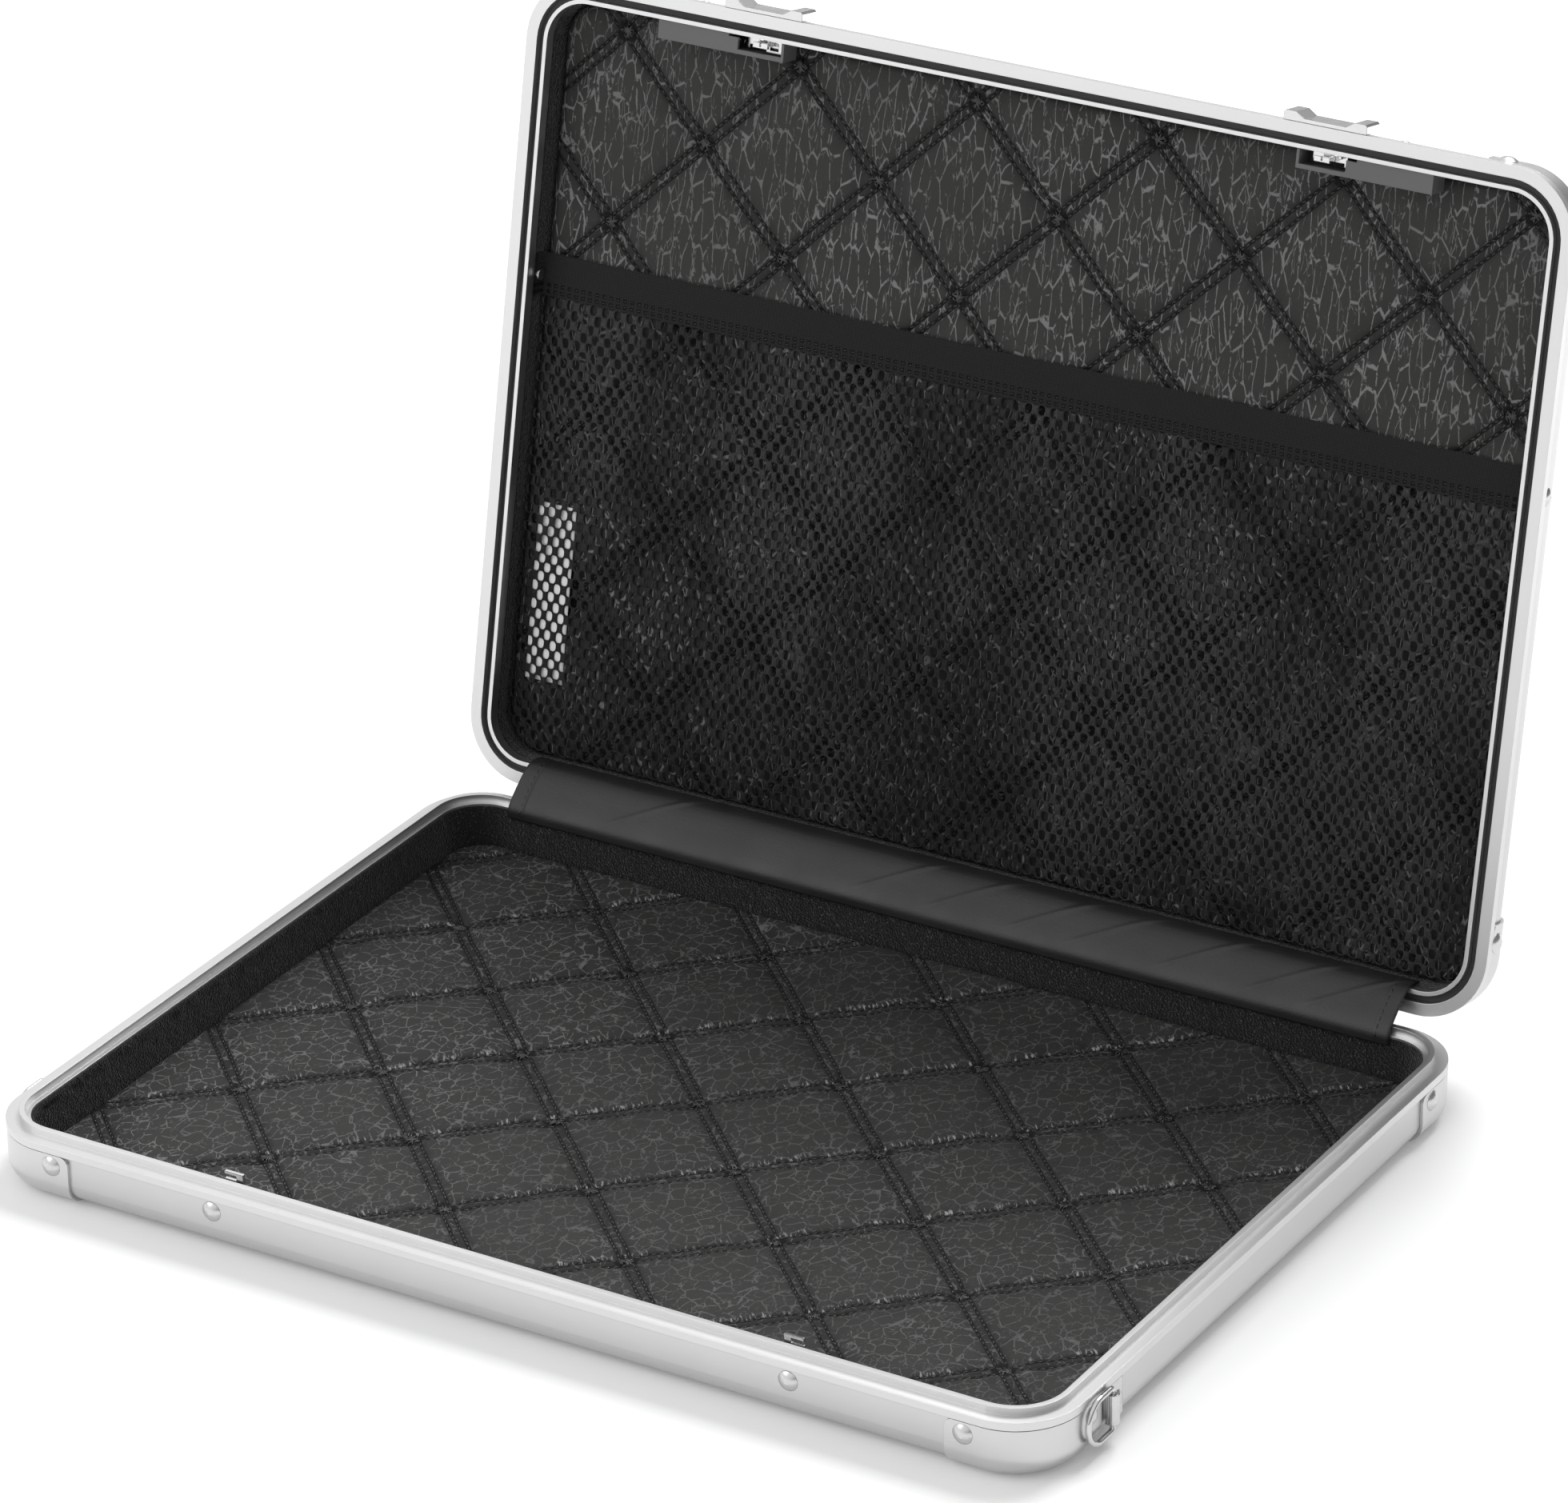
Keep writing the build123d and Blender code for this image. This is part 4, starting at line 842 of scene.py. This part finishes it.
def net_drape(half_x, start, end):
    """Crumple a slack sheet in the pocket's frame, and return its folds as a function."""
    step = 5 * MM
    xs = np.linspace(-half_x, half_x, int(2 * half_x / step) + 1)
    ys = np.linspace(start, end, int((end - start) / step) + 1)
    x, y = np.meshgrid(xs, ys, indexing="ij")
    z = NET_Z - 0.5 * MM + 0.4 * MM * waves(x, y, 45 * MM)
    held = np.zeros_like(x)
    held[0] = held[-1] = 1.0
    held[:, 0] = held[:, -1] = 1.0
    flat = np.stack([x, y, z], axis=-1).reshape(-1, 3)
    faces = grid_faces(*x.shape)
    rested = simulate(flat, faces, held.ravel(), opened=True, pressure=0.1, grow=0.02)
    shift = (rested - flat).reshape(*x.shape, 3)
    free = smooth(np.minimum(half_x - np.abs(x), np.minimum(y - start, end - y)), 0, 14 * MM)
    shift[..., 2] = -NET_FOLD * free * (1 - np.tanh((shift[..., 2] + 2 * (z - NET_Z)) / (3 * MM)))

    def moved(px, py):
        rows = np.clip((px + half_x) / (xs[1] - xs[0]), 0, len(xs) - 1.001)
        columns = np.clip((py - start) / (ys[1] - ys[0]), 0, len(ys) - 1.001)
        row, column = rows.astype(int), columns.astype(int)
        p, q = (rows - row)[..., None], (columns - column)[..., None]
        return (
            shift[row, column] * (1 - p) * (1 - q)
            + shift[row + 1, column] * p * (1 - q)
            + shift[row, column + 1] * (1 - p) * q
            + shift[row + 1, column + 1] * p * q
        )

    return moved


def mesh_pocket():
    """Make the net of knitted loops, slack between its elastic edge and the pad's rim."""
    half_x, end = HALF_WIDTH - PAD_INSET - 0.5 * MM, HALF_DEPTH - PAD_INSET - 0.5 * MM
    start = ELASTIC_Y[1] - 1.5 * MM
    radius = CORNER_RADIUS - PAD_INSET
    columns = int(2 * half_x / NET_PITCH_X)
    rows = int((end - start) / NET_PITCH_Y)
    pitch_x, pitch_y = 2 * half_x / columns, (end - start) / rows
    side, tip = 0.36 * pitch_y, 0.64 * pitch_y
    rim = np.array(
        [
            (0.5, -side), (0.5, 0.0), (0.5, side), (0.25, (side + tip) / 2), (0.0, tip),
            (-0.25, (side + tip) / 2), (-0.5, side), (-0.5, 0.0), (-0.5, -side),
            (-0.25, -(side + tip) / 2), (0.0, -tip), (0.25, -(side + tip) / 2),
        ]
    )
    rim[:, 0] *= pitch_x
    ways = rim / np.linalg.norm(rim, axis=1)[:, None]
    squared = (np.abs(ways) ** 3).sum(axis=1)[:, None] ** (-1 / 3)
    hole = ways * squared * np.array(NET_HOLE)
    crest = (rim + hole) / 2
    rings = np.stack([rim, crest, hole])
    drop = np.array([0.10, -0.10, 0.28]) * MM  # towards the pad
    centres = []
    for row in range(rows + 1):
        shift = 0.5 if row % 2 else 0.0
        for column in range(columns + 1):
            centres.append((-half_x + (column + shift) * pitch_x, start + row * pitch_y))
    centres = np.array(centres)
    a, b = np.abs(centres[:, 0]) - (half_x - radius), centres[:, 1] - (end - radius)
    outside = np.where((a > 0) & (b > 0), np.hypot(a, b), np.maximum(a, b)) - radius
    centres = centres[(outside < -0.2 * MM)]
    plan = centres[:, None, None] + rings[None]
    wobble = 0.10 * MM * rng.normal(0, 1, (len(centres), 1, 1, 2)) * np.array([0, 0.6, 1.0])[:, None, None]
    plan = plan + wobble
    x = plan[..., 0].clip(-half_x, half_x)
    y = plan[..., 1].clip(start, end)
    z = NET_Z + np.broadcast_to(drop[None, :, None], x.shape)
    sagged = net_drape(half_x, start, end)(x, y)
    points = np.stack([x, y, z], axis=-1) + sagged
    points[..., 2] = points[..., 2].clip(NET_Z - 4 * MM, LABEL_Z - 0.3 * MM)
    around, count = rim.shape[0], len(centres)
    index = np.arange(3 * around).reshape(3, around)
    beside = np.roll(index, -1, axis=1)
    loop = np.stack([index[:-1], index[1:], beside[1:], beside[:-1]], axis=-1).reshape(-1, 4)
    faces = (loop[None] + 3 * around * np.arange(count)[:, None, None]).reshape(-1, 4)
    net = piece("mesh_pocket_net", points, faces, MATERIALS["pocket_mesh"], True)
    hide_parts("mesh_pocket")
    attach(net, "lid")


def pocket_label():
    """Make the blank card in the pocket, bowed a little."""
    u, v = np.meshgrid(np.linspace(-0.5, 0.5, 9), np.linspace(-0.5, 0.5, 33), indexing="ij")
    x = LABEL_CENTRE[0] + LABEL_SIZE[0] * u
    y = LABEL_CENTRE[1] + LABEL_SIZE[1] * v
    z = LABEL_Z - 0.05 * MM * np.cos(u * math.pi) - 0.04 * MM * np.cos(v * 2 * math.pi)
    faces = grid_faces(*x.shape)
    label = piece("pocket_label_card", np.stack([x, y, z], axis=-1), faces, MATERIALS["label_card"], True)
    solid = label.modifiers.new("thickness", "SOLIDIFY")
    solid.thickness = 0.2 * MM
    solid.offset = 0.0
    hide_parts("pocket_label")
    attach(label, "lid")


elastic_band()
mesh_pocket()
pocket_label()


# ------------------------------------------------------------------ flap over the hinge gap
def opened_point(y, z):
    """Return where a point of the shut lid, seen along the hinge, lies when the lid is open."""
    place = OPENED @ Vector((0.0, y, z))
    return place.y, place.z


def flap_path():
    """Return closely spaced points of the flap's section, from the base's wall to the lid's."""
    corners = np.array(
        [
            (FLAP_Y, 16.8 * MM),
            (FLAP_Y, 21.2 * MM),
            opened_point(FLAP_Y, 19.1 * MM),
            opened_point(FLAP_Y, 27.15 * MM),
        ]
    )
    for _ in range(3):
        early = 0.78 * corners[:-1] + 0.22 * corners[1:]
        late = 0.22 * corners[:-1] + 0.78 * corners[1:]
        between = np.stack([early, late], axis=1).reshape(-1, 2)
        corners = np.concatenate([corners[:1], between[1:-1], corners[-1:]])
    lengths = np.concatenate([[0], np.cumsum(np.linalg.norm(np.diff(corners, axis=0), axis=1))])
    run = np.linspace(0, lengths[-1], 56)
    path = np.stack([np.interp(run, lengths, corners[:, i]) for i in range(2)], axis=1)
    way = np.gradient(path, axis=0)
    way /= np.linalg.norm(way, axis=1)[:, None]
    return run, path, np.stack([-way[:, 1], way[:, 0]], axis=1)


def hinge_flap():
    """Make the flap, hemmed at both ends and faintly creased, bending between base and lid."""
    run, path, normal = flap_path()
    hem = 6.0 * MM
    xs = np.unique(np.round(np.concatenate([
        np.linspace(-FLAP_HALF, FLAP_HALF, 330),
        FLAP_HALF - hem + np.array([-0.6, 0.0, 0.6]) * MM,
        hem - FLAP_HALF + np.array([-0.6, 0.0, 0.6]) * MM,
    ]), 7))
    x, along = np.meshgrid(xs, run, indexing="ij")
    from_end = FLAP_HALF - np.abs(x)
    lift = 0.22 * MM * smooth(from_end, hem + 0.3 * MM, hem - 0.3 * MM)
    lift += 0.10 * MM * waves(x, along * 1.5, 60 * MM)
    for place in (-118.0, -20.0, 8.0, 39.0, 62.0, 96.0, 129.0, 151.0):
        lean = (x - place * MM) * 0.62 - (along - run[-1] * 0.5)
        lift += 0.38 * MM * bell(lean, 0.8 * MM) * smooth(along, 5 * MM, 9 * MM)
    lift *= smooth(along, 0, 3 * MM) * smooth(run[-1] - along, 0, 3 * MM)
    y = path[None, :, 0] + normal[None, :, 0] * lift
    z = path[None, :, 1] + normal[None, :, 1] * lift
    faces = grid_faces(*x.shape)
    flap = piece("hinge_flap_leather", np.stack([x, y, z], axis=-1), faces, MATERIALS["flap_leatherette"])
    solid = flap.modifiers.new("thickness", "SOLIDIFY")
    solid.thickness = FLAP_THICKNESS
    solid.offset = 0.0
    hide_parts("hinge_flap")
    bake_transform(flap)

    steps = np.arange(3 * MM, run[-1] - 3 * MM, 2.6 * MM)
    centres, ways, ups = [], [], []
    for side in (-1, 1):
        for place in steps:
            at = [np.interp(place, run, path[:, i]) for i in range(2)]
            out = np.array([np.interp(place, run, normal[:, i]) for i in range(2)])
            rise = FLAP_THICKNESS / 2 + 0.22 * MM
            centres.append((side * (FLAP_HALF - hem + 1.2 * MM), at[0] + out[0] * rise, at[1] + out[1] * rise))
            ways.append((0.0, out[1], -out[0]))
            ups.append((0.0, out[0], out[1]))
    sewn = stitched(
        "hinge_flap_stitches", np.array(centres), np.array(ways), np.array(ups), 1.9 * MM, 0.22 * MM
    )
    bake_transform(sewn)


hinge_flap()


# ------------------------------------------------------------------ latch springs
def latch_spring(side, name):
    """Make a coil that shortens between the latch housing's end and the sliding bolt."""
    turns, around, wire, radius = 15, 8, 0.22 * MM, 0.95 * MM
    steps = turns * 16
    t = np.linspace(0, 1, steps)
    x = SPRING_ENDS[0] + (SPRING_ENDS[1] - SPRING_ENDS[0]) * (0.01 + 0.98 * t)
    angle = 2 * math.pi * turns * t
    line = np.stack([x, radius * np.cos(angle) + SPRING_Y, radius * np.sin(angle) + SPRING_Z], axis=1)
    outward = np.stack([0 * t, np.cos(angle), np.sin(angle)], axis=1)
    across = np.array([1.0, 0.0, 0.0])
    ring = np.linspace(0, 2 * math.pi, around, endpoint=False)
    points = line[None] + wire * (
        np.cos(ring)[:, None, None] * outward[None] + np.sin(ring)[:, None, None] * across
    )
    points[..., 0] *= side
    faces = grid_faces(around, steps, closed=True)
    spring = piece(f"latch_spring_{name}_coil", points, faces, MATERIALS["spring_steel"], True)
    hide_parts(f"latch_spring_{name}")
    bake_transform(spring)


latch_spring(-1, "left")
latch_spring(1, "right")

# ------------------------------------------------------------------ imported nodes
for part in frame["record"]["subparts"]:
    node = frame["nodes"][part["node"]]
    if part["material_slot"] in MATERIALS:
        node.data.materials.clear()
        node.data.materials.append(MATERIALS[part["material_slot"]])

# ------------------------------------------------------------------ studio
floor_mesh = bpy.data.meshes.new("floor")
reach = 8.0
floor_z = cad_low.z
floor_mesh.from_pydata(
    [(-reach, -reach, floor_z), (reach, -reach, floor_z), (reach, reach, floor_z), (-reach, reach, floor_z)],
    [],
    [(0, 1, 2, 3)],
)
floor = bpy.data.objects.new("floor", floor_mesh)
bpy.context.scene.collection.objects.link(floor)

# The paper is lit a little from within where it is seen or mirrored, more so far from the case.
paper = Surface("floor_paper", Roughness=0.9, Specular_IOR_Level=0.1)
paper.set("Base Color", (0.86, 0.87, 0.86, 1.0))
rays = paper.node("ShaderNodeLightPath")
shown = paper.maths("MAXIMUM", rays.outputs["Is Camera Ray"], rays.outputs["Is Glossy Ray"])
away = paper.node("ShaderNodeVectorMath", {0: paper.place}, operation="LENGTH").outputs["Value"]
paper.set("Emission Color", (1.0, 1.0, 1.0, 1.0))
paper.set("Emission Strength", paper.maths("MULTIPLY", shown, paper.ramp(away, 0.25, 1.3, 0.11, 0.55)))
floor_mesh.materials.append(paper.material)

# The room is bright overhead and on the left, and darker low on the right.
world = bpy.data.worlds.new("studio")
bpy.context.scene.world = world
world.use_nodes = True
room = world.node_tree
place = room.nodes.new("ShaderNodeTexCoord")
toward = room.nodes.new("ShaderNodeVectorMath")
toward.operation = "DOT_PRODUCT"
toward.inputs[1].default_value = (-0.45, -0.2, 0.87)
level_of = room.nodes.new("ShaderNodeMapRange")
level_of.interpolation_type = "SMOOTHSTEP"
for socket, value in (("From Min", -0.15), ("From Max", 0.5), ("To Min", 0.2), ("To Max", 1.0)):
    level_of.inputs[socket].default_value = value
mirrored = room.nodes.new("ShaderNodeLightPath")
brighter = room.nodes.new("ShaderNodeMath")
brighter.operation = "MULTIPLY_ADD"
brighter.inputs[1].default_value = 0.25
brighter.inputs[2].default_value = 0.72
total = room.nodes.new("ShaderNodeMath")
total.operation = "MULTIPLY"
room.links.new(place.outputs["Generated"], toward.inputs[0])
room.links.new(toward.outputs["Value"], level_of.inputs["Value"])
room.links.new(mirrored.outputs["Is Glossy Ray"], brighter.inputs[0])
room.links.new(brighter.outputs[0], total.inputs[0])
room.links.new(level_of.outputs[0], total.inputs[1])
room.links.new(total.outputs[0], room.nodes["Background"].inputs["Strength"])
room.nodes["Background"].inputs["Color"].default_value = (1.0, 1.0, 1.0, 1.0)


def area_lamp(name, place, target, size, power):
    """Hang a soft square lamp that faces a point."""
    data = bpy.data.lights.new(name, "AREA")
    data.size = size
    data.energy = power
    lamp = bpy.data.objects.new(name, data)
    lamp.location = place
    lamp.rotation_euler = (Vector(target) - Vector(place)).to_track_quat("-Z", "Y").to_euler()
    bpy.context.scene.collection.objects.link(lamp)


area_lamp("key", (0.1, 1.9, 2.8), (0.0, 0.1, 0.05), 1.4, 74.0)
area_lamp("fill", (-1.6, -1.6, 1.8), (0.0, 0.0, 0.1), 2.0, 16.0)

# The camera stands where the photograph was taken from.
AZIMUTH = math.radians(31.45)
ELEVATION = math.radians(26.146)
ROLL = math.radians(-1.01)
back = Vector(
    (
        math.sin(AZIMUTH) * math.cos(ELEVATION),
        -math.cos(AZIMUTH) * math.cos(ELEVATION),
        math.sin(ELEVATION),
    )
)
level = Vector((math.cos(AZIMUTH), math.sin(AZIMUTH), 0.0))
upright = back.cross(level)
right = level * math.cos(ROLL) + upright * math.sin(ROLL)
up = upright * math.cos(ROLL) - level * math.sin(ROLL)
lens = bpy.data.cameras.new("camera")
lens.sensor_fit = "HORIZONTAL"
lens.sensor_width = 36.0
lens.lens = 182.7
camera = bpy.data.objects.new("camera", lens)
turned = Matrix((right, up, back)).transposed().to_4x4()
camera.matrix_world = Matrix.Translation((1.1926, -1.9128, 1.2457)) @ turned
bpy.context.scene.collection.objects.link(camera)
bpy.context.scene.camera = camera
bpy.context.scene.view_settings.view_transform = "Standard"
